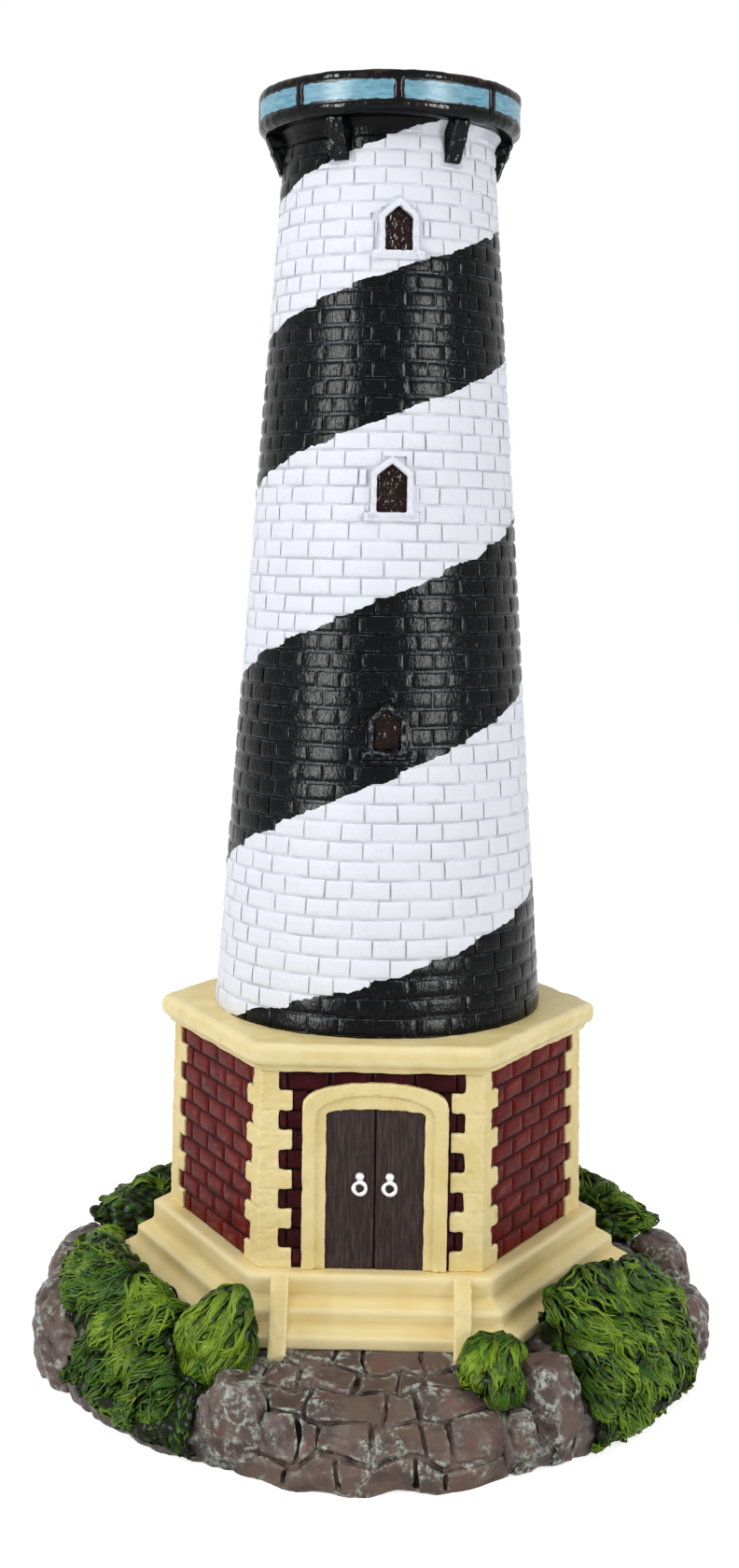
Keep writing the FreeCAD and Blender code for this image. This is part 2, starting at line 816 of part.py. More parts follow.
def battery_door_shape():
    """Door with two curved ribs that cradle the cell, and an ear for its screw."""
    door = door_blank(lamp_floor, lamp_floor + door_thick, 0.0)
    cell = Part.makeCylinder(battery_radius + battery_gap, battery_length,
                             Vector(-battery_length / 2, 0, battery_axis), Vector(1, 0, 0))
    ribs = []
    for side in (-1, 1):
        x = side * battery_length / 4
        rib = floor_box(x - rib_thick / 2, x + rib_thick / 2, -rib_half_width, rib_half_width,
                        lamp_floor + door_thick, battery_axis)
        ribs.append(rib.cut(cell))
    hole = Part.makeCylinder(screw_radius + screw_gap, 3 * door_thick,
                             Vector(0, -door_ear_offset, lamp_floor - door_thick))
    return largest(door.fuse(ribs).cut(hole))


def door_screw_shape():
    """Small slotted screw up through the ear into the boss."""
    head_foot = lamp_floor - screw_head_height
    shank = Part.makeCylinder(screw_radius, screw_length, Vector(0, -door_ear_offset, lamp_floor))
    head = Part.makeCylinder(screw_head_radius, screw_head_height, Vector(0, -door_ear_offset, head_foot))
    slot = floor_box(-screw_head_radius, screw_head_radius, -door_ear_offset - screw_slot / 2,
                     -door_ear_offset + screw_slot / 2, head_foot, head_foot + screw_slot)
    return shank.fuse(head).cut(slot)


def switch_shape():
    """Slide switch knob through the floor slot, with its guide plate inside."""
    start = -switch_slot_length / 2 + switch_gap
    near = switch_offset - switch_knob_width / 2
    far = switch_offset + switch_knob_width / 2
    guide_foot = lamp_floor + floor_thick + switch_gap
    knob_foot = lamp_floor - switch_knob_height
    knob = floor_box(start, start + switch_knob_length, near, far, knob_foot, guide_foot)
    margin = switch_plate_margin
    guide = floor_box(-switch_slot_length / 2 - margin, switch_slot_length / 2 + margin,
                      near - margin, far + margin, guide_foot, guide_foot + switch_plate_thick)
    return knob.fuse(guide)


def faceted(rings):
    """Solid with flat facets between closed outlines that have as many points each."""
    facets = [polygon_face(rings[0]), polygon_face(rings[-1])]
    for near, far in zip(rings, rings[1:]):
        for k in range(len(near)):
            following = (k + 1) % len(near)
            facets.append(polygon_face([near[k], near[following], far[following]]))
            facets.append(polygon_face([near[k], far[following], far[k]]))
    shell = Part.makeShell(facets)
    shell.sewShape()
    solid = Part.makeSolid(shell)
    if solid.Volume < 0:
        solid.reverse()
    return solid


def ground_layers():
    """Distance from the axis and height of each ring of the island, from its foot up."""
    return [(ground_foot_radius, 0.0), (ground_bulge_radius, ground_bulge_height),
            (ground_shoulder_radius, ground_shoulder_height), (ground_rim_radius, ground_rim_height),
            (ground_flat_radius, ground_top)]


def ground_reach(z):
    """Mean distance from the axis to the island's side at a height."""
    layers = ground_layers()
    for (low_radius, low), (high_radius, high) in zip(layers, layers[1:]):
        if z <= high:
            return low_radius + (high_radius - low_radius) * (z - low) / (high - low)
    return ground_flat_radius


def ground_shape():
    """Rocky island: uneven rings joined by facets, with a flat top under the plinth."""
    rings = []
    for level, (radius, z) in enumerate(ground_layers()):
        points = []
        for k in range(ground_sides):
            a = 2 * math.pi * k / ground_sides
            wave = (math.sin(5 * a + 1.3 * level) + math.sin(11 * a + 2.1 * level)) / 2
            if z == ground_top:
                wave = 0.0
            points.append(polar(radius + ground_uneven * wave, math.degrees(a), z))
        rings.append(points)
    return faceted(rings)


def path_profile():
    """Section of the path's surface from the steps out and down to its foot: distance, height."""
    return [(plinth_radius * apothem_share, ground_top), (path_mid_radius, path_mid_height),
            (path_front_top_radius, path_front_top_height),
            (path_front_top_radius + path_edge_round, path_front_top_height - path_edge_round),
            (path_front_bulge, ground_bulge_height), (path_front_foot_radius, 0.0)]


def path_bed():
    """Solid wedge under the flagstones, from below the steps to the steep front."""
    section = path_profile() + [(path_inner_radius, 0.0), (path_inner_radius, ground_top)]
    return turned(section, path_start, path_end - path_start)


def path_point(azimuth, down, lift):
    """Point at a distance down the path from the steps, lifted off its surface."""
    profile = path_profile()
    for (r0, z0), (r1, z1) in zip(profile, profile[1:]):
        span = math.hypot(r1 - r0, z1 - z0)
        if down <= span or (r1, z1) == profile[-1]:
            out = (z0 - z1) / span
            up = (r1 - r0) / span
            share = down / span
            return polar(r0 + (r1 - r0) * share + lift * out, azimuth, z0 + (z1 - z0) * share + lift * up)
        down -= span


def path_groove(start, end):
    """Cutter for one joint between flagstones, from one (azimuth, distance down) place to another."""
    above = 3 * flag_joint_depth
    corners = [path_point(*start, -flag_joint_depth), path_point(*end, -flag_joint_depth)]
    rise = path_point(*end, above) - corners[1]
    corners += [corners[1] + rise, corners[0] + rise]
    across = (corners[1] - corners[0]).cross(rise)
    across.normalize()
    across.multiply(flag_joint)
    face = polygon_face([corner - across * 0.5 for corner in corners])
    return face.extrude(across)


def flag_row_azimuths(row):
    """Azimuths of the upright joints between the flagstones of one row, the path's edges included."""
    count = flag_counts[row]
    width = path_end - path_start
    edges = [path_start]
    for k in range(1, count):
        stagger = flag_stagger * math.sin(flag_stagger_rate * k + flag_row_shift * row)
        edges.append(path_start + width * (k + stagger) / count)
    return edges + [path_end]


def flag_line(row, azimuth):
    """Distance down the path of the wavy joint above a row, at an azimuth."""
    if row == 0:
        return -flag_joint
    if row == len(flag_counts):
        profile = path_profile()
        return sum(math.dist(a, b) for a, b in zip(profile, profile[1:])) - flag_joint
    return flag_rows[row - 1] + flag_zigzag * math.sin(flag_zigzag_rate * azimuth + flag_row_shift * row)


def flagstone_path_shape():
    """Path cut by joints into rows of uneven flagstones, laid like a rough wall."""
    grooves = []
    for row in range(len(flag_counts)):
        azimuths = flag_row_azimuths(row)
        for azimuth in azimuths[1:-1]:
            below = flag_line(row + 1, azimuth)
            grooves.append(path_groove((azimuth, flag_line(row, azimuth)), (azimuth, below)))
        if row:
            crossings = sorted(set(azimuths + flag_row_azimuths(row - 1)))
            for a, b in zip(crossings, crossings[1:]):
                grooves.append(path_groove((a, flag_line(row, a)), (b, flag_line(row, b))))
    return largest(path_bed().cut(Part.makeCompound(grooves)))


def path_space():
    """Room for the path, open above it."""
    reach = 1.5 * ground_bulge_radius
    section = [(path_inner_radius, 0.0), (reach, 0.0), (reach, house_foot), (path_inner_radius, house_foot)]
    return turned(section, path_start, path_end - path_start)


def uneven_ring(distance, azimuth, half_width, half_depth, z, sides, uneven, phase):
    """Uneven closed outline of a stone or tuft at one height."""
    turn = FreeCAD.Rotation(Vector(0, 0, 1), azimuth)
    points = []
    for k in range(sides):
        a = 2 * math.pi * k / sides
        grow = 1 + uneven * (math.sin(2 * a + phase) + math.sin(3 * a + 2 * phase))
        across = half_width * grow * math.cos(a)
        out = distance + half_depth * grow * math.sin(a)
        points.append(turn.multVec(Vector(across, -out, z)))
    return points


def stone(place, phase):
    """Faceted boulder, widest below its middle."""
    azimuth, inset, half_width, half_depth, foot, height = place
    rings = []
    for k, (up, wide) in enumerate(stone_layers):
        rings.append(uneven_ring(ground_bulge_radius - inset, azimuth, half_width * wide, half_depth * wide,
                                 foot + up * height, stone_sides, stone_uneven, phase + 0.3 * k))
    return faceted(rings)


def tuft(place, phase):
    """Standing tuft of grass whose locks draw in to a ragged crest."""
    azimuth, outward, half_width, half_depth, height, sway = place
    foot = ground_rim_height - bank_bury
    top = ground_top + height
    distance = ground_flat_radius + outward
    rings = []
    for k, (up, wide, lean) in enumerate(tuft_layers):
        turn = azimuth + math.degrees(sway * up ** 2 / distance)
        points = uneven_ring(distance + lean, turn, half_width * wide, half_depth * wide,
                             foot + up * (top - foot), 2 * tuft_lock_count, tuft_uneven, phase + up)
        middle = polar(distance, turn)
        for n in range(0, 2 * tuft_lock_count, 2):
            out = points[n] - Vector(middle.x, middle.y, points[n].z)
            out.normalize()
            points[n] = points[n] + out * (bank_lock * wide * (k > 0))
        rings.append(points)
    return faceted(rings)


def eased(start, middle, end, share):
    """Height along a bank that passes through three given heights."""
    if share < 0.5:
        return start + (middle - start) * (1 - math.cos(2 * math.pi * share)) / 2
    return middle + (end - middle) * (1 + math.cos(2 * math.pi * share)) / 2


def bank(place):
    """Bank of combed grass over the island's edge: ridged locks rise to a crest and fall to its foot."""
    start, end, foot_start, foot_middle, foot_end, crest_start, crest_middle, crest_end = place
    sections = 2 * round((end - start) / bank_lock_turn)
    inner = ground_flat_radius - bank_inner_gap
    rings = []
    for k in range(sections + 1):
        share = k / sections
        foot = eased(foot_start, foot_middle, foot_end, share)
        crest = eased(crest_start, crest_middle, crest_end, share)
        swell = bank_end_drop + (1 - bank_end_drop) * math.sin(math.pi * share) ** 0.5
        ridge = bank_lock * (k % 2)
        cover = bank_cover + ridge
        height = (crest - bank_lock + ridge) * swell
        top = ground_top + height
        belly = foot + min(bank_belly_rise, bank_belly_share * (top - foot))
        section = [(inner, ground_rim_height - bank_bury),
                   (ground_reach(foot) - bank_bury, foot - bank_bury / 3),
                   (ground_reach(foot) + bank_cover, foot - ridge / 2),
                   (ground_reach(belly) + cover + bank_belly * swell, belly),
                   (ground_rim_radius + cover + bank_shoulder_lean * height,
                    foot + bank_shoulder_share * (top - foot)),
                   (ground_flat_radius + bank_crest_lean * height, top),
                   (inner + bank_bury, ground_top + bank_back_share * height),
                   (inner, ground_top + bank_lock)]
        rings.append([polar(r, start + (end - start) * share, z) for r, z in section])
    return faceted(rings)


os.makedirs("parts", exist_ok=True)

plinth = stepped_plinth_shape()
path = flagstone_path_shape()
path_room = path_space()
stringers = {}
for name, middle in (("stringer_left", stringer_left), ("stringer_right", stringer_right)):
    stringers[name] = trimmed(stringer_shape(middle), [plinth, path])
ground = ground_shape().cut(path_room)
for shape in stringers.values():
    ground = ground.cut(shape)
ground = largest(ground)
boulders = {}
for k, (name, place) in enumerate(boulder_places.items()):
    boulders[name] = trimmed(stone(place, 0.9 * k), [ground, plinth] + list(stringers.values()))
for shape in boulders.values():
    path = largest(path.cut(shape))

save("ground_base", ground)
save("flagstone_path", path)
save("stepped_plinth", plinth)
for name, shape in stringers.items():
    save(name, shape)

for name, shape in boulders.items():
    save(name, shape)

fixed = [ground, path, plinth] + list(stringers.values()) + list(boulders.values())
rim = []
for k, place in enumerate(rim_places):
    rim.append(trimmed(stone(place, 1.3 * k + 0.5), fixed + rim))
save("rim_rocks", Part.makeCompound(rim))
stones = fixed + rim
tufts = []
for k, (name, place) in enumerate(tuft_places.items()):
    shape = trimmed(tuft(place, 1.1 * k), stones)
    tufts.append(shape)
    save(name, shape)
for name, place in bank_places.items():
    save(name, trimmed(bank(place), stones + tufts))

save("house_wall", house_wall_shape())
surround_reach = inner_band + outer_band + panel_gap
surround_cut = plate(band_outline(surround_reach), 4 * outer_band_proud, -outer_band_proud)
for k in range(6):
    save("brick_panel_%d" % (k + 1), brick_panel(60 * k, surround_cut if k == 0 else None))
    save("corner_quoin_%d" % (k + 1), quoin(60 * k + 30))
save("cornice_slab", cornice_shape())
save("door_surround", door_surround_shape())
for name, side in (("left", -1), ("right", 1)):
    save("door_leaf_" + name, door_leaf_shape(side))
    save("ring_handle_" + name, ring_handle_shape(side))

save("tower_shell", tower_shape())
for k in range(len(window_heights)):
    save("window_frame_%d" % (k + 1), window_frame_shape(k))
    save("window_pane_%d" % (k + 1), window_pane_shape(k))
for k in range(bracket_count):
    save("gallery_bracket_%d" % (k + 1), bracket_pocket(bracket_azimuth + 360 / bracket_count * k))
save("gallery_ring", gallery_ring_shape())
save("gallery_panels", gallery_panels_shape())

save("lamp_housing", lamp_housing_shape())
save("lamp_seal", lamp_seal_shape())
save("circuit_board", circuit_board_shape())
save("light_emitters", emitters_shape())
save("light_ring", light_ring_shape())
save("solar_cell", solar_cell_shape())
save("battery_cell", battery_shape())
save("battery_contacts", contacts_shape())
save("battery_door", battery_door_shape())
save("door_screw", door_screw_shape())
save("switch_slider", switch_shape())
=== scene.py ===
import math
import bpy
import numpy as np
from mathutils import Matrix, Vector
from mathutils.bvhtree import BVHTree


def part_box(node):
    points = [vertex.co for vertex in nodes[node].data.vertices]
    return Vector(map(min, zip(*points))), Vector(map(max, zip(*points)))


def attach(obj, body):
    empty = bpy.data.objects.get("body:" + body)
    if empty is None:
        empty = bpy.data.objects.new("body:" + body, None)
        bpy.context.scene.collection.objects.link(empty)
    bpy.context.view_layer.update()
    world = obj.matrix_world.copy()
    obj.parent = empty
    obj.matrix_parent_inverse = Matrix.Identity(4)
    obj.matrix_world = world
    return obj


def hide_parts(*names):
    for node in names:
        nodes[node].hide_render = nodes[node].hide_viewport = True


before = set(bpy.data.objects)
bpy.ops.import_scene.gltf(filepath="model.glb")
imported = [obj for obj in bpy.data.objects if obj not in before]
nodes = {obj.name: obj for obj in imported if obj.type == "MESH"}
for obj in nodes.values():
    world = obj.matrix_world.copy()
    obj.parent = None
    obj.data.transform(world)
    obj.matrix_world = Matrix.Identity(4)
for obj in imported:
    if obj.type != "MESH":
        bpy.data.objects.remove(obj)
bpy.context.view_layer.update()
mm = 0.001  # every piece is in metres, so sizes written in millimetres are multiplied by this


def newObject(name, data):
    made = bpy.data.objects.new(name, data)
    bpy.context.scene.collection.objects.link(made)
    return made


# camera, fitted to the photograph: two thirds of the way up the ornament, looking slightly down
cameraLook = dict(
    distanceMm=626.7, heightMm=270.1, pitch=7.34, yaw=-0.325, roll=0.79, turn=1.09, lensMm=44.14,
    sensorMm=36.0)


def makeCamera(look):
    pitch, yaw, roll, turn = (math.radians(look[name]) for name in ("pitch", "yaw", "roll", "turn"))
    right = Vector((math.cos(yaw), -math.sin(yaw), 0))
    ahead = Vector((math.cos(pitch) * math.sin(yaw), math.cos(pitch) * math.cos(yaw), -math.sin(pitch)))
    up = Vector((math.sin(pitch) * math.sin(yaw), math.sin(pitch) * math.cos(yaw), math.cos(pitch)))
    rolledRight = math.cos(roll) * right + math.sin(roll) * up
    rolledUp = math.cos(roll) * up - math.sin(roll) * right
    axes = Matrix((rolledRight, rolledUp, -ahead)).transposed().to_4x4()
    axes.translation = Vector((0, -look["distanceMm"], look["heightMm"])) * mm
    data = bpy.data.cameras.new("photoCamera")
    data.sensor_fit = "VERTICAL"
    data.sensor_height = look["sensorMm"]
    data.lens = look["lensMm"]
    camera = newObject("photoCamera", data)
    camera.matrix_world = Matrix.Rotation(turn, 4, "Z") @ axes
    bpy.context.scene.camera = camera


makeCamera(cameraLook)
print("camera set")


# materials: small helpers. A name that ends in Band holds the two values a soft threshold lies between
def hexColour(text):
    channels = [int(text[k:k + 2], 16) / 255 for k in (1, 3, 5)]
    return tuple(c / 12.92 if c <= 0.04045 else ((c + 0.055) / 1.055) ** 2.4 for c in channels) + (1.0,)


def addNode(near, kind, inputs=None, **settings):  # near is a node tree, or any node or socket in it
    tree = near.id_data
    node = tree.nodes.new(kind)
    for name, value in settings.items():
        setattr(node, name, value)
    for name, value in (inputs or {}).items():
        if isinstance(value, bpy.types.NodeSocket):
            tree.links.new(value, node.inputs[name])
        else:
            node.inputs[name].default_value = value
    return node


def emptyTree(owner):
    owner.use_nodes = True
    owner.node_tree.nodes.clear()
    return owner.node_tree


def newMaterial(name, **shaderValues):
    material = bpy.data.materials.new(name)
    tree = emptyTree(material)
    inputs = {name.replace("_", " "): value for name, value in shaderValues.items()}
    shader = addNode(tree, "ShaderNodeBsdfPrincipled", inputs)
    addNode(tree, "ShaderNodeOutputMaterial", {"Surface": shader.outputs[0]})
    return material, addNode(tree, "ShaderNodeTexCoord").outputs["Object"]


def satin(name, look):
    return newMaterial(name, Roughness=look["roughness"], Specular_IOR_Level=look["gloss"])


def perMm(size):  # a pattern's scale for features of this many millimetres
    return 1 / (size * mm)


def step(value, low, high, toLow=0.0, toHigh=1.0):  # a soft threshold
    return addNode(value, "ShaderNodeMapRange", {0: value, 1: low, 2: high, 3: toLow, 4: toHigh},
                   interpolation_type="SMOOTHSTEP").outputs[0]


def calc(operation, a, b=0.0, c=0.0):
    return addNode(a, "ShaderNodeMath", {0: a, 1: b, 2: c}, operation=operation).outputs[0]


def times(a, b):
    return calc("MULTIPLY", a, b)


def timesPlus(a, b, c):
    return calc("MULTIPLY_ADD", a, b, c)


def blendColour(share, a, b, mode="MIX"):  # a and b are drawn, or colours as text
    a, b = (hexColour(c) if isinstance(c, str) else c for c in (a, b))
    drawn = next(c for c in (share, a, b) if isinstance(c, bpy.types.NodeSocket))
    return addNode(drawn, "ShaderNodeMix", {0: share, 6: a, 7: b}, data_type="RGBA", blend_type=mode).outputs[2]


def layer(under, look, name, value, falling=False):  # the named colour, where the value is in its band
    share = step(value, *look[name + "Band"], float(falling), float(not falling))
    return blendColour(times(share, look.get(name + "Share", 1.0)), under, look[name])


def speckle(place, sizeMm, detail=3.0, rough=0.55, warp=0.0):
    return addNode(place, "ShaderNodeTexNoise", {"Vector": place, "Scale": perMm(sizeMm), "Detail": detail,
                                                 "Roughness": rough, "Distortion": warp}).outputs[0]


def voronoi(place, sizeMm, **settings):
    return addNode(place, "ShaderNodeTexVoronoi", {"Vector": place, "Scale": perMm(sizeMm)}, **settings).outputs


def stretch(place, scale):
    return addNode(place, "ShaderNodeMapping", {"Vector": place, "Scale": scale}).outputs[0]


def axesOf(place):
    return addNode(place, "ShaderNodeSeparateXYZ", {0: place}).outputs


def azimuthOf(parts):  # radians round the upright axis, from the front
    return calc("ARCTAN2", parts[0], times(parts[1], -1.0))


def field(near, name):  # a value kept on each mesh point; "relief" is how proud it stands, in millimetres
    return addNode(near, "ShaderNodeAttribute", attribute_name=name).outputs["Fac"]


def finish(material, look, height=None, **drawn):  # links what is drawn to the shader, and gives the material
    shader = material.node_tree.nodes["Principled BSDF"]
    if height is not None:
        bump = addNode(shader, "ShaderNodeBump", {"Height": height, "Distance": look["bumpMm"] * mm,
                                                  "Strength": look["bumpStrength"]})
        drawn["Normal"] = bump.outputs[0]
    for name, value in drawn.items():
        shader.id_data.links.new(value, shader.inputs[name.replace("_", " ")])
    return material


# hand-painted cast resin in satin paint: darker in the hollows, which on the bricks is their dark joints and on
# the cream is painted shade in the creases and steps; paler on the high places, partly wear and partly a
# painted highlight
def paintedResin(name, look):
    material, place = satin(name, look)
    broad = speckle(place, look["patchMm"], 2.0)
    fine = speckle(place, look["fineMm"], 4.0, 0.65)
    colour = layer(look["base"], look, "second", broad)
    raised = timesPlus(fine, look["ragMm"], field(place, "relief"))
    # painted shade: on the cream the hollow colour darkens creases and steps where shade falls; on the bricks
    # it is the dark joints
    colour = layer(colour, look, "hollow", raised, True)
    # paler on the raised places: partly wear, partly a painted highlight
    colour = layer(colour, look, "wearAndHighlight", raised)
    height = timesPlus(broad, look["grimeRagMm"] * mm, axesOf(place)[2])
    foot = step(height, look["grimeFootMm"] * mm, look["grimeTopMm"] * mm, 1.0, 0.0)
    patchy = step(speckle(place, look["grimeMm"], 5.0, 0.7, 0.6), *look["grimeBand"])
    dirt = times(times(foot, patchy), look["grimeShare"])
    return finish(material, look, fine, Base_Color=blendColour(dirt, colour, look["grime"]))


# the pale colour on the cream's ridges and the lighter red on the brick faces are partly a painted highlight
creamLook = dict(
    base="#E8D69E", second="#E0CB8C", patchMm=14.0, secondBand=(0.35, 0.7), fineMm=1.6, hollow="#C2A667",
    ragMm=0.03, hollowBand=(-0.4, -0.02), hollowShare=0.5, wearAndHighlight="#F1E4B8", wearAndHighlightBand=(0.12, 0.4),
    wearAndHighlightShare=0.45, roughness=0.4, gloss=0.08, grime="#8F8A5C", grimeFootMm=24.0, grimeTopMm=44.0,
    grimeRagMm=18.0, grimeMm=9.0, grimeBand=(0.5, 0.66), grimeShare=0.0, bumpMm=0.1, bumpStrength=0.6)
# on the steps the hollow colour is painted shade along each crease
plinthLook = dict(
    creamLook, second="#E2CB8C", hollow="#C4A768", hollowShare=0.6, hollowBand=(-0.5, -0.02), grimeShare=0.12)
brickLook = dict(
    creamLook, base="#671D18", second="#531514", patchMm=9.0, hollow="#1A0909", ragMm=0.1,
    hollowBand=(-0.12, 0.12), hollowShare=1.0, wearAndHighlight="#8E4A42", wearAndHighlightBand=(0.44, 0.58), wearAndHighlightShare=0.5,
    roughness=0.28, gloss=0.025)
frontBrickLook = dict(brickLook, base="#3D1619", second="#2E0F12", hollow="#120707", wearAndHighlight="#5E2C2F")
mortarLook = dict(brickLook, base="#1C0C0C", second="#160909", wearAndHighlightShare=0.0, gloss=0.02)

creamPaint = paintedResin("creamSatinPaint", creamLook)
plinthPaint = paintedResin("creamStepPaint", plinthLook)
brickPaint = paintedResin("brickRedSatinPaint", brickLook)
frontBrickPaint = paintedResin("maroonSatinPaint", frontBrickLook)
mortarPaint = paintedResin("darkJointPaint", mortarLook)


# rough-cast resin painted as stone: purple-brown wash, then a nearly dry pale brush over the high places
stoneLook = dict(
    base="#665650", second="#4C403C", patchMm=12.0, secondBand=(0.4, 0.62), fineMm=1.6, warm="#6B4E48",
    warmMm=8.4, warmBand=(0.52, 0.68), warmShare=0.7, hollow="#1D1615", hollowBand=(-0.5, -0.12),
    dry="#BCC6BA", dryShare=0.8, dryMm=17.0, dryBand=(0.5, 0.62), driftMm=4.0, driftSizeMm=5.0, veinMm=9.0,
    veinBand=(0.015, 0.11), veinDepth=0.4, raggedBand=(0.42, 0.6), edgeRagMm=0.35, edgeBand=(0.23, 0.58),
    edgePatchBand=(0.36, 0.58), roughness=0.42, gloss=0.08, bumpMm=0.35, bumpStrength=0.7)


def paintedStone(name, look):
    material, place = satin(name, look)
    relief = field(place, "relief")
    broad = speckle(place, look["patchMm"], 3.0, 0.6)
    fine = speckle(place, look["fineMm"], 4.0, 0.7)
    colour = layer(look["base"], look, "second", broad)
    colour = layer(colour, look, "warm", speckle(place, look["warmMm"], 3.0, 0.6, 0.4))
    colour = layer(colour, look, "hollow", relief, True)
    drift = addNode(place, "ShaderNodeTexNoise", {"Vector": place, "Scale": perMm(look["driftSizeMm"])})
    drift = addNode(place, "ShaderNodeVectorMath", {0: drift.outputs[1], 1: (look["driftMm"] * mm,) * 3},
                    operation="MULTIPLY")
    drifted = addNode(place, "ShaderNodeVectorMath", {0: place, 1: drift.outputs[0]}, operation="ADD")
    cracks = voronoi(drifted.outputs[0], look["veinMm"], feature="DISTANCE_TO_EDGE")[0]
    veins = step(cracks, *look["veinBand"], 1.0, 0.0)
    patch = step(speckle(place, look["dryMm"], 2.0, 0.5, 0.8), *look["dryBand"])
    ragged = step(fine, *look["raggedBand"])
    brushed = times(times(veins, patch), ragged)
    edge = step(timesPlus(fine, look["edgeRagMm"], relief), *look["edgeBand"])
    edges = times(times(edge, ragged), step(broad, *look["edgePatchBand"]))
    share = times(calc("MAXIMUM", brushed, edges), look["dryShare"])
    height = timesPlus(veins, -look["veinDepth"], fine)
    return finish(material, look, height, Base_Color=blendColour(share, colour, look["dry"]))


boulderPaint = paintedStone("drybrushedStonePaint", stoneLook)
pathPaint = paintedStone("flagstonePaint", dict(stoneLook, base="#69594F", second="#544742", warm="#6F4F4A",
                                                veinMm=14.0, hollowBand=(-0.42, -0.16)))
# the same stone paint made darker all over: painted shade for the ground rim at the foot
groundPaint = paintedStone("shadedGroundStonePaint", dict(stoneLook, base="#5C504D", second="#463C3A", warm="#60504A",
                                                 dryShare=0.5))


# cast resin grass in gloss paint: near-black green between and under the strands is painted shade, the green on
# their crests is partly a painted highlight, and yellow-green sits on their tips
grassLook = dict(
    deep="#1B2212", middle="#3A6117", tip="#88A52C", dirt="#3A2F1D", fineMm=1.1, fineShare=0.5,
    crestFrom=0.25, middleBand=(0.16, 0.6), patchMm=16.0, patchShare=1.1, shadeShare=0.55,
    tipBand=(1.05, 2.0), dirtMm=13.0, dirtBand=(0.6, 0.72), dirtShare=0.45, roughness=0.3, gloss=0.06,
    bumpMm=0.15, bumpStrength=0.5)


def paintedGrass(name, look):
    material, place = satin(name, look)
    fine = speckle(place, look["fineMm"], 3.0, 0.6)
    patch = speckle(place, look["patchMm"], 2.0, 0.5)
    crest = calc("SUBTRACT", field(place, "crest"), look["crestFrom"])
    raised = timesPlus(fine, look["fineShare"], crest)
    # painted shade and highlight: dark green where the crest value is low, along strand sides and in mound
    # hollows, green where it is high
    colour = layer(look["deep"], look, "middle", raised)
    shaded = timesPlus(field(place, "shade"), look["shadeShare"], raised)
    colour = layer(colour, look, "tip", timesPlus(patch, look["patchShare"], shaded))
    colour = layer(colour, look, "dirt", speckle(place, look["dirtMm"], 3.0, 0.6, 0.5))
    return finish(material, look, fine, Base_Color=colour)


grassPaint = paintedGrass("glossGrassPaint", grassLook)

# gloss enamel in two colours: the spiral's two edges are curves of azimuth against height, worked out from the
# photograph; each brick takes the paint of its place, so the edges run ragged
stripeLook = dict(
    white="#E4E7EF", black="#0B0C0E", whiteJoint="#B4B8C2", blackJoint="#040405",
    upper=(26.83, 32.13, 311.36, 357.12), lower=(3.26, 50.03, 326.02, 522.98), middle=0.250, span=0.100,
    ragMm=1.5, ragSizeMm=7.0, fineMm=1.4, broadMm=11.0, gapRagMm=0.08, gapBand=(0.0, 0.2),
    fillBand=(0.35, 0.65), fillShares=(0.15, 0.8), dust="#8D8C99", dustBand=(0.6, 0.72), dustShare=0.1,
    rubAndGlint="#8C909C", rubAndGlintMm=2.6, rubAndGlintFootBand=(0.02, 0.1), rubAndGlintTopBand=(0.14, 0.24), rubAndGlintBand=(0.44, 0.6),
    rubAndGlintShare=0.55, whiteRoughness=0.42, blackRoughness=0.1, roughSpread=0.14, gloss=0.08, combMm=0.9,
    combScale=(1.0, 1.0, 0.4), waveMm=3.5, bumpMm=0.3, bumpStrength=0.6)


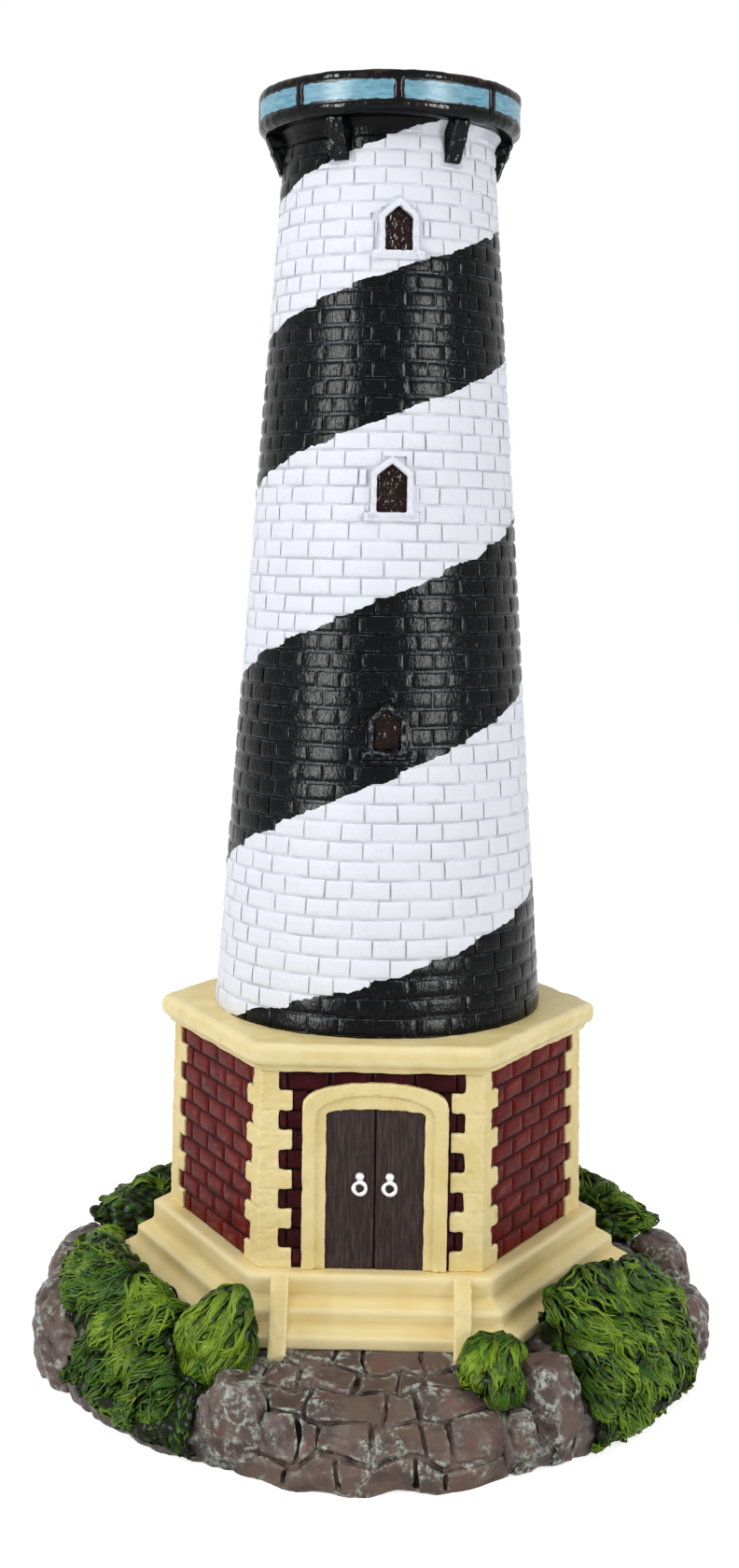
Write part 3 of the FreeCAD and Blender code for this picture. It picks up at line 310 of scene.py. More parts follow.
def stripedEnamel(name, look, joint=0.0):  # joint is 1 for the shell that shows between the bricks
    material, place = newMaterial(name, IOR=1.5, Specular_IOR_Level=look["gloss"])
    parts = axesOf(place)
    turn = timesPlus(azimuthOf(parts), 180 / math.pi, field(place, "turnShift"))
    rag = calc("SUBTRACT", speckle(place, look["ragSizeMm"], 3.0, 0.7), 0.5)
    height = timesPlus(rag, look["ragMm"] * 2 * mm, parts[2])
    height = calc("ADD", height, field(place, "heightShift"))
    rise = calc("DIVIDE", calc("SUBTRACT", height, look["middle"]), look["span"])
    edges = []
    for powers in (look["upper"], look["lower"]):
        total = timesPlus(rise, powers[0], powers[1])
        for power in powers[2:]:
            total = timesPlus(total, rise, power)
        edges.append(total)
    share = calc("FRACT", calc("DIVIDE", calc("SUBTRACT", turn, edges[0]), 360.0))
    width = calc("DIVIDE", calc("SUBTRACT", edges[1], edges[0]), 360.0)
    black = calc("LESS_THAN", share, width)
    relief = field(place, "relief")
    fine = speckle(place, look["fineMm"], 4.0, 0.6)
    broad = speckle(place, look["broadMm"], 2.0)
    gap = step(timesPlus(fine, look["gapRagMm"], relief), *look["gapBand"], 1.0, 0.0)
    deep = calc("MAXIMUM", gap, joint)
    filled = times(deep, step(broad, *look["fillBand"], *look["fillShares"]))
    white = blendColour(filled, look["white"], look["whiteJoint"])
    dark = blendColour(deep, layer(look["black"], look, "dust", fine), look["blackJoint"])
    # grey outlines on the black bricks' edges: partly rubbed paint, partly a painted highlight where the edges
    # catch the light
    rim = times(step(relief, *look["rubAndGlintFootBand"]), step(relief, *look["rubAndGlintTopBand"], 1.0, 0.0))
    flecks = step(speckle(place, look["rubAndGlintMm"], 4.0, 0.7), *look["rubAndGlintBand"], 0.0, look["rubAndGlintShare"])
    rubbedAndGlinting = times(times(rim, flecks), 1.0 - joint)
    dark = blendColour(rubbedAndGlinting, dark, look["rubAndGlint"])
    rough = timesPlus(black, look["blackRoughness"] - look["whiteRoughness"], look["whiteRoughness"])
    rough = timesPlus(fine, look["roughSpread"], rough)
    combed = speckle(stretch(place, look["combScale"]), look["combMm"], 3.0, 0.6)
    wavy = calc("ADD", combed, speckle(place, look["waveMm"], 2.0))
    return finish(material, look, wavy, Base_Color=blendColour(black, white, dark), Roughness=rough)


towerPaint = stripedEnamel("whiteAndBlackEnamel", stripeLook)
towerJointPaint = stripedEnamel("enamelInJoints", stripeLook, 1.0)


# black gloss enamel, rubbed through to brown on the sharp edges
enamelLook = dict(
    black="#0A0B0D", worn="#4A372C", fineMm=1.2, ragMm=0.6, wornBand=(0.56, 0.7), patchMm=8.0,
    patchBand=(0.5, 0.66), wornShare=0.7, roughFoot=0.06, roughSpread=0.25, gloss=0.1, waveMm=3.0, bumpMm=0.3,
    bumpStrength=0.5)


def blackEnamel(name, look):
    material, place = newMaterial(name, IOR=1.5, Specular_IOR_Level=look["gloss"])
    fine = speckle(place, look["fineMm"], 5.0, 0.7)
    worn = step(timesPlus(fine, look["ragMm"], field(place, "relief")), *look["wornBand"])
    patch = step(speckle(place, look["patchMm"], 3.0), *look["patchBand"], 0.0, look["wornShare"])
    colour = blendColour(times(worn, patch), look["black"], look["worn"])
    rough = timesPlus(fine, look["roughSpread"], look["roughFoot"])
    return finish(material, look, speckle(place, look["waveMm"], 3.0), Base_Color=colour, Roughness=rough)


galleryPaint = blackEnamel("blackGlossEnamel", enamelLook)

# light blue brushed on by hand inside each panel, leaving a wavering black border
paneLook = dict(
    blue="#6093A8", pale="#7EAEC0", deep="#457C96", black="#0D0E10", count=8, turn=4.8, mullionMm=2.2,
    radiusMm=41.2, footMm=397.3, tallMm=6.5, borderMm=0.55, edgeMm=0.08, waverMm=1.6, waverSizeMm=3.2,
    strokeMm=1.5, strokeScale=(0.35, 0.35, 1.8), paleBand=(0.4, 0.62), deepBand=(0.28, 0.42), deepShare=0.7,
    paintDepth=0.5, roughness=0.3, gloss=0.2, bumpMm=0.2, bumpStrength=0.6)


def brushedBlue(name, look):
    material, place = satin(name, look)
    parts = axesOf(place)
    turn = times(azimuthOf(parts), 180 / math.pi)
    pitch = 360 / look["count"]
    share = calc("FRACT", calc("DIVIDE", calc("SUBTRACT", turn, look["turn"]), pitch))
    reach = math.radians(pitch) * look["radiusMm"] / 2  # half of one panel and its share of the mullions, mm
    across = calc("ABSOLUTE", calc("SUBTRACT", share, 0.5))
    fromSide = timesPlus(across, -2 * reach, reach - look["mullionMm"] / 2)
    half = look["tallMm"] / 2
    up = calc("ABSOLUTE", calc("SUBTRACT", parts[2], (look["footMm"] + half) * mm))
    inside = calc("MINIMUM", fromSide, timesPlus(up, -1 / mm, half))
    waver = calc("SUBTRACT", speckle(place, look["waverSizeMm"], 3.0, 0.6, 0.3), 0.5)
    reached = timesPlus(waver, look["waverMm"], inside)
    painted = step(reached, look["borderMm"] - look["edgeMm"], look["borderMm"] + look["edgeMm"])
    strokes = speckle(stretch(place, look["strokeScale"]), look["strokeMm"], 4.0, 0.7)
    colour = layer(layer(look["blue"], look, "pale", strokes), look, "deep", strokes, True)
    height = timesPlus(painted, look["paintDepth"], strokes)
    return finish(material, look, height, Base_Color=blendColour(painted, look["black"], colour))


bluePaint = brushedBlue("brushedBluePaint", paneLook)


# a finish of one fine pattern, which blends its two colours and raises its bump
def patterned(name, look, **shaderValues):
    material, place = newMaterial(name, **shaderValues)
    pattern = speckle(stretch(place, look["scale"]), look["sizeMm"], look["detail"], look["rough"])
    if "secondBand" in look:
        colour = layer(look["base"], look, "second", pattern)
    else:
        colour = blendColour(times(pattern, look["secondShare"]), look["base"], look["second"])
    if "groove" in look:
        colour = layer(colour, look, "groove", field(place, "relief"), True)
    return finish(material, look, pattern, Base_Color=colour)


plainPattern = dict(scale=(1.0, 1.0, 1.0), detail=2.0, rough=0.55, secondShare=1.0, bumpStrength=0.5)

# dark brown paint over cast boards, combed into a fine upright grain
doorLook = dict(
    plainPattern, base="#2D2220", second="#483A35", secondBand=(0.42, 0.66), scale=(1.0, 1.0, 0.07),
    sizeMm=0.55, detail=4.0, rough=0.65, groove="#0B0706", grooveBand=(-0.14, -0.01), grooveShare=0.95,
    bumpMm=0.25, bumpStrength=0.8)
doorPaint = patterned("grainedBrownPaint", doorLook, Roughness=0.45, Specular_IOR_Level=0.08)

# glass-smooth brown gloss pooled thick over a wavy casting
poolLook = dict(
    plainPattern, base="#28120C", second="#170B08", secondBand=(0.4, 0.6), sizeMm=2.0, bumpMm=1.1,
    bumpStrength=0.8)
windowGloss = patterned("brownWindowGloss", poolLook, IOR=1.5, Roughness=0.1, Specular_IOR_Level=0.12)

# silver craft paint: mica flakes in clear binder, so metallic but not mirror-bright
flakeLook = dict(plainPattern, base="#C4C4C8", second="#FAFAFC", sizeMm=0.4, bumpMm=0.08)
silverPaint = patterned("silverFlakePaint", flakeLook, Metallic=0.55, Roughness=0.28)

# injection-moulded ABS with a fine sparked texture, drawn coarser than the real 0.1 mm so that it shows
plasticLook = dict(plainPattern, base="#17181A", second="#4A4A4C", secondShare=0.25, sizeMm=0.35, bumpMm=0.06)


def mouldedPlastic(name, roughness, **changes):
    return patterned(name, dict(plasticLook, **changes), IOR=1.53, Roughness=roughness, Specular_IOR_Level=0.12)


blackAbs = mouldedPlastic("mouldedBlackAbs", 0.48)
switchAbs = mouldedPlastic("mouldedSwitchAbs", 0.4, base="#2A2B2E")
sealRubber = mouldedPlastic("mouldedSealRubber", 0.75, base="#101011", sizeMm=0.6)
# phosphor dome over a blue die: warm yellow, slightly soft
emitterGel = mouldedPlastic("yellowPhosphor", 0.3, base="#E9D36A", sizeMm=0.8)

# nickel or zinc plate on steel: faint rolling lines along the strip
steelLook = dict(
    plainPattern, base="#B9B5AC", second="#E4E2DC", scale=(1.0, 0.1, 1.0), sizeMm=0.3, bumpMm=0.03)
contactSteel = patterned("nickelledSpringSteel", steelLook, Metallic=1.0, Roughness=0.28)
screwSteel = patterned("zincPlatedSteel", dict(steelLook, base="#AEB1B4"), Metallic=1.0, Roughness=0.28)


# fibreglass board under green lacquer, with copper tracks showing as paler green
boardLook = dict(
    track="#2F7F4B", board="#114A2A", cellMm=6.0, fold=0.16, boardBand=(0.05, 0.07), bumpMm=0.05,
    bumpStrength=0.6)


def lacqueredBoard(name, look):
    material, place = newMaterial(name, IOR=1.5, Roughness=0.25, Coat_Weight=0.6)
    cells = voronoi(place, look["cellMm"], feature="F1", distance="CHEBYCHEV")[0]
    bare = step(calc("PINGPONG", cells, look["fold"]), *look["boardBand"])
    return finish(material, look, bare, Base_Color=blendColour(bare, look["track"], look["board"]))


boardLacquer = lacqueredBoard("greenBoardLacquer", boardLook)


# clear moulded polycarbonate ring with fine ribs that scatter the light
ringLook = dict(tint="#E8F0F2", ribs=120.0, bumpMm=0.25, bumpStrength=0.6)


def clearRing(name, look):
    material, place = newMaterial(name, IOR=1.58, Roughness=0.08, Transmission_Weight=0.92,
                                  Base_Color=hexColour(look["tint"]))
    parts = axesOf(place)
    turn = calc("ARCTAN2", parts[0], parts[1])
    return finish(material, look, calc("SINE", times(turn, look["ribs"])))


clearPlastic = clearRing("clearPolycarbonate", ringLook)

# silicon cell under clear resin: pale fingers across and two bus bars, on blue-black
cellLook = dict(
    blue="#101B3A", silver="#AEB4BE", fingerMm=2.2, fingerWidth=0.09, busMm=13.0, busWidth=0.035,
    leastWidth=0.02, crystalMm=4.0, crystalShare=0.12)


def solarGlass(name, look):
    material, place = newMaterial(name, IOR=1.5, Roughness=0.35, Coat_Weight=1.0, Coat_Roughness=0.03)
    parts = axesOf(place)
    lines = []
    for along, kind in ((parts[1], "finger"), (parts[0], "bus")):
        share = calc("FRACT", times(along, perMm(look[kind + "Mm"])))
        wave = calc("ABSOLUTE", calc("SUBTRACT", share, 0.5))
        lines.append(calc("LESS_THAN", wave, look[kind + "Width"] / 2 + look["leastWidth"]))
    grid = calc("MAXIMUM", lines[0], lines[1])
    crystals = voronoi(place, look["crystalMm"])[1]
    blue = blendColour(look["crystalShare"], look["blue"], crystals, "MULTIPLY")
    return finish(material, look, Base_Color=blendColour(grid, blue, look["silver"]))


solarFace = solarGlass("siliconCellUnderResin", cellLook)


# plain green shrink sleeve on a nickel-plated can: the sleeve stops short of both ends
sleeveLook = dict(
    green="#2F7A44", scuffed="#3B8C52", can="#C6C4BE", halfSleeveMm=20.6, scuffMm=2.0, roughSpread=0.15,
    roughFoot=0.25)


def sleevedCan(name, look):
    material, place = newMaterial(name, IOR=1.5, Coat_Weight=0.3)
    bare = calc("GREATER_THAN", calc("ABSOLUTE", axesOf(place)[0]), look["halfSleeveMm"] * mm)
    scuff = speckle(place, look["scuffMm"], 4.0)
    rough = timesPlus(scuff, look["roughSpread"], look["roughFoot"])
    colour = blendColour(bare, blendColour(scuff, look["green"], look["scuffed"]), look["can"])
    return finish(material, look, Base_Color=colour, Metallic=bare, Roughness=rough)


sleevePaint = sleevedCan("greenSleeveOnSteel", sleeveLook)
print("materials made")


# meshes: small helpers
def lumps(points, sizeMm, seed, waves=10):  # smooth random swell, about -1 to 1 mostly, over points in metres
    rng = np.random.default_rng(seed)
    ways = rng.normal(size=(waves, 3))
    length = np.linalg.norm(ways, axis=1)[:, None]
    ways *= 2 * math.pi / (sizeMm * mm) * rng.uniform(0.6, 1.5, (waves, 1)) / length
    return np.sin(points @ ways.T + rng.uniform(0, 2 * math.pi, waves)).sum(1) / math.sqrt(waves)


def faceSwell(x, y, z, sizeMm, seed):  # lumps over the points of one brick's face
    return lumps(np.stack((x, y, z), -1).reshape(-1, 3) * mm, sizeMm, seed).reshape(x.shape)


def readVectors(mesh, name):
    values = np.empty(len(mesh.vertices) * 3)
    mesh.vertices.foreach_get(name, values)
    return values.reshape(-1, 3)


def setPoints(mesh, points):
    mesh.vertices.foreach_set("co", points.ravel())
    mesh.update()


def setValues(mesh, name, values):
    mesh.attributes.new(name, "FLOAT", "POINT").data.foreach_set("value", np.asarray(values, dtype=np.float32))


def evened(mesh, points, rounds):  # points after repeated averaging with their neighbours
    ends = np.empty(len(mesh.edges) * 2, dtype=np.int64)
    mesh.edges.foreach_get("vertices", ends)
    a, b = ends.reshape(-1, 2).T
    count = np.maximum(np.bincount(np.concatenate((a, b)), minlength=len(points)), 1)
    for _ in range(rounds):
        total = np.stack([np.bincount(a, points[b, k], len(points)) + np.bincount(b, points[a, k], len(points))
                          for k in range(3)], axis=1)
        points = 0.5 * points + 0.5 * total / count[:, None]
    return points


def buildMesh(name, points, faces, **kept):
    mesh = bpy.data.meshes.new(name)
    mesh.from_pydata([tuple(p) for p in points], [], faces)
    mesh.validate()
    mesh.update()
    for field, values in kept.items():
        setValues(mesh, field, values)
    return mesh


def gridFaces(base, rows, columns, wrap=False, wrapRows=False):  # the faces of a grid of points, row by row
    faces = []
    for r in range(rows if wrapRows else rows - 1):
        for c in range(columns if wrap else columns - 1):
            low, high = base + r * columns, base + (r + 1) % rows * columns
            after = (c + 1) % columns
            faces.append((low + c, low + after, high + after, high + c))
    return faces


def endFaces(base, rows, columns):  # the two ends of a tube of points
    last = base + (rows - 1) * columns
    return [tuple(reversed(range(base, base + columns))), tuple(range(last, last + columns))]


def addPiece(name, mesh, material, body="ornament"):
    mesh.materials.clear()
    mesh.materials.append(material)
    mesh.polygons.foreach_set("use_smooth", [True] * len(mesh.polygons))
    piece = newObject(name, mesh)
    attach(piece, body)
    return piece


def paintSolid(node, material):  # a solid that keeps its shape
    nodes[node].data.materials.clear()
    nodes[node].data.materials.append(material)


# a softened casting of one CAD solid: remeshed, smoothed, lumpy, and never larger than the solid's own box
castLook = dict(warpSizeMm=19.0, tuckLengthMm=26.0, tuckPower=6, smallShare=0.5, smallSize=0.4)


def softCast(node, material, slot, voxelMm, rounds, wobbleMm, wobbleSizeMm, reliefRounds, seed, insetMm=0.0,
             warpMm=0.0, tuckMm=0.0):
    work = newObject("work", nodes[node].data.copy())
    remesh = work.modifiers.new("even", "REMESH")
    remesh.mode = "VOXEL"
    remesh.voxel_size = voxelMm * mm
    bpy.context.view_layer.update()
    even = bpy.data.meshes.new_from_object(work.evaluated_get(bpy.context.evaluated_depsgraph_get()))
    bpy.data.objects.remove(work)
    points = evened(even, readVectors(even, "co"), rounds)
    low, high = (np.array(corner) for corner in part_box(node))
    if warpMm:  # joints wander in plan
        drift = np.stack([lumps(points, castLook["warpSizeMm"], seed + k) for k in (7, 8, 9)], 1)
        points = points + drift * (warpMm * mm)
    if tuckMm:  # the front edge's two ends run back into the island
        across = np.abs(points[:, 0] - (low[0] + high[0]) / 2) / ((high[0] - low[0]) / 2)
        near = np.clip(1 - (points[:, 1] - low[1]) / (castLook["tuckLengthMm"] * mm), 0, 1)
        points[:, 1] += tuckMm * mm * np.minimum(across, 1) ** castLook["tuckPower"] * near
    if insetMm:
        setPoints(even, points)
        points = points - readVectors(even, "normal") * (insetMm * mm)
    setPoints(even, points)
    swell = lumps(points, wobbleSizeMm, seed)
    swell = swell + castLook["smallShare"] * lumps(points, wobbleSizeMm * castLook["smallSize"], seed + 50)
    points = points + readVectors(even, "normal") * (swell * wobbleMm * mm)[:, None]
    points = np.clip(points, low, high)
    setPoints(even, points)
    smooth = evened(even, points, reliefRounds)
    setValues(even, "relief", ((points - smooth) * readVectors(even, "normal")).sum(1) / mm)
    piece = addPiece(node + "_cast", even, material)
    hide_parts(node)
    return piece


# house, steps and gallery, as soft castings of their solids. After the slot stand the voxel in mm, the rounds
# of smoothing, the wobble and its size in mm, the rounds that the relief is measured against, and the seed
for k in range(1, 7):
    softCast("corner_quoin_%d" % k, creamPaint, "cream", 0.42, 2, 0.1, 4.0, 26, k)
softCast("cornice_slab", creamPaint, "cream", 0.8, 2, 0.16, 12.0, 22, 31)
softCast("stepped_plinth", plinthPaint, "cream", 0.9, 1, 0.08, 24.0, 20, 32)
for k, side in enumerate(("left", "right")):
    softCast("stringer_" + side, plinthPaint, "cream", 0.6, 3, 0.2, 6.0, 20, 33 + k)
softCast("door_surround", creamPaint, "cream", 0.35, 2, 0.1, 5.0, 26, 35)
for k, side in enumerate(("left", "right")):
    softCast("door_leaf_" + side, doorPaint, "door", 0.26, 1, 0.02, 3.0, 12, 36 + k)
for k in range(1, 4):
    softCast("window_frame_%d" % k, towerPaint, "tower", 0.28, 3, 0.08, 3.0, 30, 40 + k)
    softCast("window_pane_%d" % k, windowGloss, "pane", 0.24, 1, 0.05, 2.2, 20, 44 + k)
for k in range(1, 7):
    softCast("gallery_bracket_%d" % k, galleryPaint, "black", 0.35, 3, 0.12, 4.0, 22, 50 + k)
softCast("gallery_ring", galleryPaint, "black", 0.55, 2, 0.1, 8.0, 22, 60)
paintSolid("house_wall", mortarPaint)
paintSolid("gallery_panels", bluePaint)
print("castings softened")


# where a brick's face is divided, along and up, closest at its edges
alongMarks = (-1.0, -0.96, -0.88, -0.6, 0.0, 0.6, 0.88, 0.96, 1.0)
upMarks = (-1.0, -0.92, -0.78, -0.35, 0.35, 0.78, 0.92, 1.0)

# house bricks: ten courses in running bond between the toothed corners, each brick a flat pillow on a backing
houseLook = dict(
    footMm=46.5, tallMm=62.0, footReach=58.283, topReach=57.071, halfMm=33.65, courses=10, longTooth=9.4,
    shortTooth=5.2, brickMm=12.4, joint=0.55, backing=0.45, sunk=0.1, proud=1.15, proudSpread=0.1,
    sidePower=14, topPower=7, least=1.5, slant=0.25, droop=0.22, swell=0.06, swellMm=5.0, swellRelief=0.08,
    faceRelief=0.55, edgeRelief=0.15, backRelief=-0.3, doorFrom=-18.4, doorTo=20.8, doorCourses=9)


def houseBricks(side, look):
    rng = np.random.default_rng(200 + side)
    lean = math.atan((look["footReach"] - look["topReach"]) / look["tallMm"])
    turn = Matrix.Rotation(math.radians(60 * (side - 1)), 3, "Z")
    u, v = np.meshgrid(alongMarks, upMarks)
    bulge = ((1 - np.abs(u) ** look["sidePower"]) * (1 - np.abs(v) ** look["topPower"])) ** 0.5
    flat, faces, relief = [], [], []
    tall, joint = look["tallMm"] / look["courses"], look["joint"]
    pitch = look["brickMm"] + joint

    def laySheet(x, y, out, raised):
        faces.extend(gridFaces(len(flat), *x.shape))
        flat.extend(zip(x.ravel(), y.ravel(), out.ravel()))
        relief.extend(raised.ravel())

    for course in range(look["courses"]):
        half = look["halfMm"] - (look["longTooth"] if course % 2 == 0 else look["shortTooth"])
        foot = course * tall
        x, y = np.meshgrid((-half, half), (foot, foot + tall))
        laySheet(x, y, np.full(x.shape, look["backing"]), np.full(x.shape, look["backRelief"]))
        start = -pitch * math.ceil((half + pitch) / pitch) + (0 if course % 2 else pitch / 2)
        spans = [(start + k * pitch, start + (k + 1) * pitch) for k in range(int(2 * half / pitch) + 4)]
        if side == 1 and course < look["doorCourses"]:
            left = [(a, min(b, look["doorFrom"])) for a, b in spans]
            spans = left + [(max(a, look["doorTo"]), b) for a, b in spans]
        for a, b in spans:
            a, b = max(a, -half) + joint / 2, min(b, half) - joint / 2
            if b - a < look["least"]:
                continue
            tilt = rng.uniform(-1, 1, 3)
            x = (a + b) / 2 + u * (b - a) / 2 + look["slant"] * tilt[0] * v
            y = foot + tall / 2 + v * (tall - joint) / 2 + look["droop"] * tilt[1] * u
            swell = faceSwell(x, y, u * 2 + course, look["swellMm"], side)
            proud = look["proud"] - look["backing"] + look["proudSpread"] * tilt[2] + look["swell"] * swell
            raised = bulge * look["faceRelief"] - look["edgeRelief"] + look["swellRelief"] * swell
            laySheet(x, y, look["backing"] - look["sunk"] + bulge * proud, raised)
    x, y, out = np.array(flat).T
    points = np.stack((x, -(look["footReach"] - y * math.sin(lean) + out * math.cos(lean)),
                       look["footMm"] + y * math.cos(lean) + out * math.sin(lean)), -1) * mm
    points = points @ np.array(turn).T
    node = "brick_panel_%d" % side
    mesh = buildMesh(node + "Bricks", points, faces, relief=relief)
    piece = addPiece(node + "_cast", mesh, frontBrickPaint if side == 1 else brickPaint)
    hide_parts(node)


for side in range(1, 7):
    houseBricks(side, houseLook)
print("house bricks laid")

# tower bricks: about fifty courses in running bond round the taper, each a shallow pillow. A window is its
# azimuth, the height of its middle, its width and its height; hold is how far a brick keeps its middle's paint
towerLook = dict(
    footMm=117.7, topMm=393.9, footRadius=53.4, topRadius=32.6, lowCourse=6.1, highCourse=5.0, lowBrick=11.6,
    highBrick=9.0, joint=0.5, proud=0.42, sunk=0.16, hold=0.25, levelPower=5, sidePower=8, sideDip=0.35,
    stagger=0.2, tilt=0.25, tiltWide=0.15, tiltTall=0.5, tiltProud=0.35, leastProud=0.75, proudSpread=0.5,
    swell=0.04, swellMm=30.0, drop=0.6, dropOver=0.35, leastFree=0.2, cutAt=-0.3, jointFill=0.8,
    reliefFoot=0.05, band=1.7, peak=2.4, sill=2.7, sillOut=2.0, gable=3.6,
    windows=((6.4, 361.8, 8.4, 13.2), (4.2, 284.6, 9.3, 14.6), (3.5, 211.8, 8.2, 12.6)), brackets=-24.5,
    bracketHalf=2.9, bracketFoot=381.4, farOff=9.0)


def towerShare(look, z):
    return (z - look["footMm"]) / (look["topMm"] - look["footMm"])


def towerRadius(look, z):
    return look["footRadius"] + (look["topRadius"] - look["footRadius"]) * towerShare(look, z)


def clearOfFittings(look, azimuth, z, radius):  # mm outside the window frames and brackets, negative inside
    gap = np.full(azimuth.shape, look["farOff"])
    for turn, middle, wide, tall in look["windows"]:
        x = np.abs((azimuth - turn + 180) % 360 - 180) * math.pi / 180 * radius
        half = wide / 2 + look["band"]
        foot = middle - tall / 2
        peak = middle + tall / 2 + look["peak"]
        roof = z - (peak - look["gable"] * x / (wide / 2))
        frameGap = np.maximum.reduce([x - half, foot - z, roof])
        sillGap = np.maximum.reduce([x - half - look["sillOut"], foot - look["sill"] - z, z - foot])
        gap = np.minimum(gap, np.minimum(frameGap, sillGap))
    nearest = np.abs((azimuth - look["brackets"] + 30) % 60 - 30) * math.pi / 180 * radius
    return np.minimum(gap, np.maximum(nearest - look["bracketHalf"], look["bracketFoot"] - z))


def towerBricks(look):
    rng = np.random.default_rng(7)
    u, v = np.meshgrid(alongMarks, upMarks)
    cells = gridFaces(0, *u.shape)
    level = (1 - np.abs(v) ** look["levelPower"]) ** 0.5
    bulge = level * (1 - look["sideDip"] * np.abs(u) ** look["sidePower"])  # the upright joints are shallower
    points, faces, relief, turnShift, heightShift = [], [], [], [], []
    z, course = look["footMm"], 0
    while z < look["topMm"] - 0.5 * look["highCourse"]:
        share = towerShare(look, z)
        tall = look["lowCourse"] + (look["highCourse"] - look["lowCourse"]) * share
        tall = min(tall, look["topMm"] - z)
        middle = z + tall / 2
        radius = towerRadius(look, middle)
        long = look["lowBrick"] + (look["highBrick"] - look["lowBrick"]) * share
        count = round(2 * math.pi * radius / long)
        stagger = rng.uniform(-look["stagger"], look["stagger"], count)
        edges = (np.arange(count) + 0.5 * (course % 2) + stagger) * 360 / count
        for k in range(count):
            start, end = edges[k], edges[(k + 1) % count] + (360 if k == count - 1 else 0)
            half = (end - start) / 2 - math.degrees(look["joint"] / 2 / radius)
            tilt = rng.uniform(-look["tilt"], look["tilt"], 4)
            skew = (tilt[0] * (1 - u) * (1 - v) + tilt[1] * (1 + u) * (1 - v) + tilt[2] * (1 - u) * (1 + v)
                    + tilt[3] * (1 + u) * (1 + v)) / 4
            azimuth = (start + end) / 2 + u * half * (1 + look["tiltWide"] * skew)
            height = middle + v * (tall - look["joint"]) / 2 + look["tiltTall"] * skew
            proud = look["proud"] * (look["leastProud"] + look["proudSpread"] * rng.random())
            proud = proud * (1 + look["tiltProud"] * skew)
            gap = clearOfFittings(look, azimuth, height, radius)
            free = np.clip(gap / look["dropOver"], 0, 1)
            swell = faceSwell(azimuth, height * 8, u, look["swellMm"], 3)
            lift = (bulge * proud + look["swell"] * swell) * free
            lift = lift - look["sunk"] * (1 - bulge) - look["drop"] * (1 - free)
            if free.max() > look["leastFree"]:
                base = len(points)
                reach, a = towerRadius(look, height) + lift, np.radians(azimuth)
                points.extend(np.stack((reach * np.sin(a), -reach * np.cos(a), height), -1).reshape(-1, 3) * mm)
                # the upright joints fill with paint
                filled = lift + (level - bulge) * look["jointFill"] * proud
                relief.extend(filled.ravel() + look["reliefFoot"])
                turnShift.extend((((start + end) / 2 - azimuth) * look["hold"]).ravel())
                heightShift.extend(((middle - height) * look["hold"] * mm).ravel())
                outside = gap.ravel() > look["cutAt"]
                faces.extend([tuple(base + i for i in cell) for cell in cells if outside[list(cell)].all()])
        z += tall
        course += 1
    mesh = buildMesh("towerBricks", points, faces, relief=relief, turnShift=turnShift, heightShift=heightShift)
    addPiece("tower_bricks", mesh, towerPaint)


towerBricks(towerLook)
paintSolid("tower_shell", towerJointPaint)
print("tower bricks laid")


# stones: softened castings with broad dents
for k, name in enumerate(("boulder_front_left", "boulder_front_right", "boulder_right", "rim_rocks")):
    softCast(name, boulderPaint, "stone", 0.7, 5, 0.5, 12.0, 34, 70 + k)
softCast("flagstone_path", pathPaint, "stone", 0.42, 3, 0.2, 8.0, 26, 80, warpMm=1.1, tuckMm=9.0)
softCast("ground_base", groundPaint, "stone", 1.2, 3, 0.6, 14.0, 20, 81)
print("stones and path cast")

# grass: locks of fine tapered strands, combed over each mound, their tips a little free of it
bankLook = dict(locks=270, lengthMm=15.0, lockMm=7.5, swirl=0.3, insetMm=1.5, tone=0.0, fanFrom=None)
backLook = dict(bankLook, locks=200, lengthMm=13.0, lockMm=7.0, proudMm=1.6, sizeMm=24.0)
grassSpots = {
    "grass_bank_left": dict(bankLook, proudMm=1.5, swirl=-0.55, sizeMm=40.0),
    "grass_bank_right": dict(bankLook, proudMm=1.7, sizeMm=30.0),
    "grass_bank_back_left": dict(backLook, swirl=-0.3),
    "grass_bank_back_right": backLook,
    "grass_tuft_left": dict(locks=110, lengthMm=17.0, lockMm=5.5, proudMm=1.2, swirl=0.0, sizeMm=26.0,
                            insetMm=0.9, tone=0.25, fanFrom=(0.95, 0.6, 1.1)),
    "grass_tuft_right": dict(locks=100, lengthMm=10.0, lockMm=4.6, proudMm=1.3, swirl=0.0, sizeMm=16.0,
                             insetMm=0.7, tone=0.2, fanFrom=(0.75, 0.8, 1.15)),
}
moundLook = dict(voxelMm=1.0, rounds=3, wobbleMm=1.0, wobbleSizeMm=11.0, reliefRounds=10)
# the crest values set painted light on the grass: lighter along the top of each strand and toward its tip,
# darker at a lock's sides and in the mound's hollows
bladeLook = dict(
    strands=8, rings=7, profile=((-1.0, -0.4), (-0.55, 0.7), (0.55, 0.7), (1.0, -0.4)), outward=0.8,
    upward=0.7, leastFacing=0.15, turnSpread=0.4, converge=0.16, stray=0.06, bendSpread=0.03, bendSwirl=0.05,
    long=(0.7, 1.25), half=(0.8, 1.2), proud=(0.7, 1.2), strandLong=(0.85, 1.1), strandWide=(1.15, 1.5),
    sideShort=0.3, taperPower=3.5, waist=0.15, tipWidth=0.04, footLift=0.3, archLift=0.5, sideLift=0.4,
    tipMm=0.7, thick=0.55, sunkMm=0.2, footCrest=0.5, tipCrest=0.6, sideCrest=0.35, moundCrest=0.2,
    moundRelief=0.6)


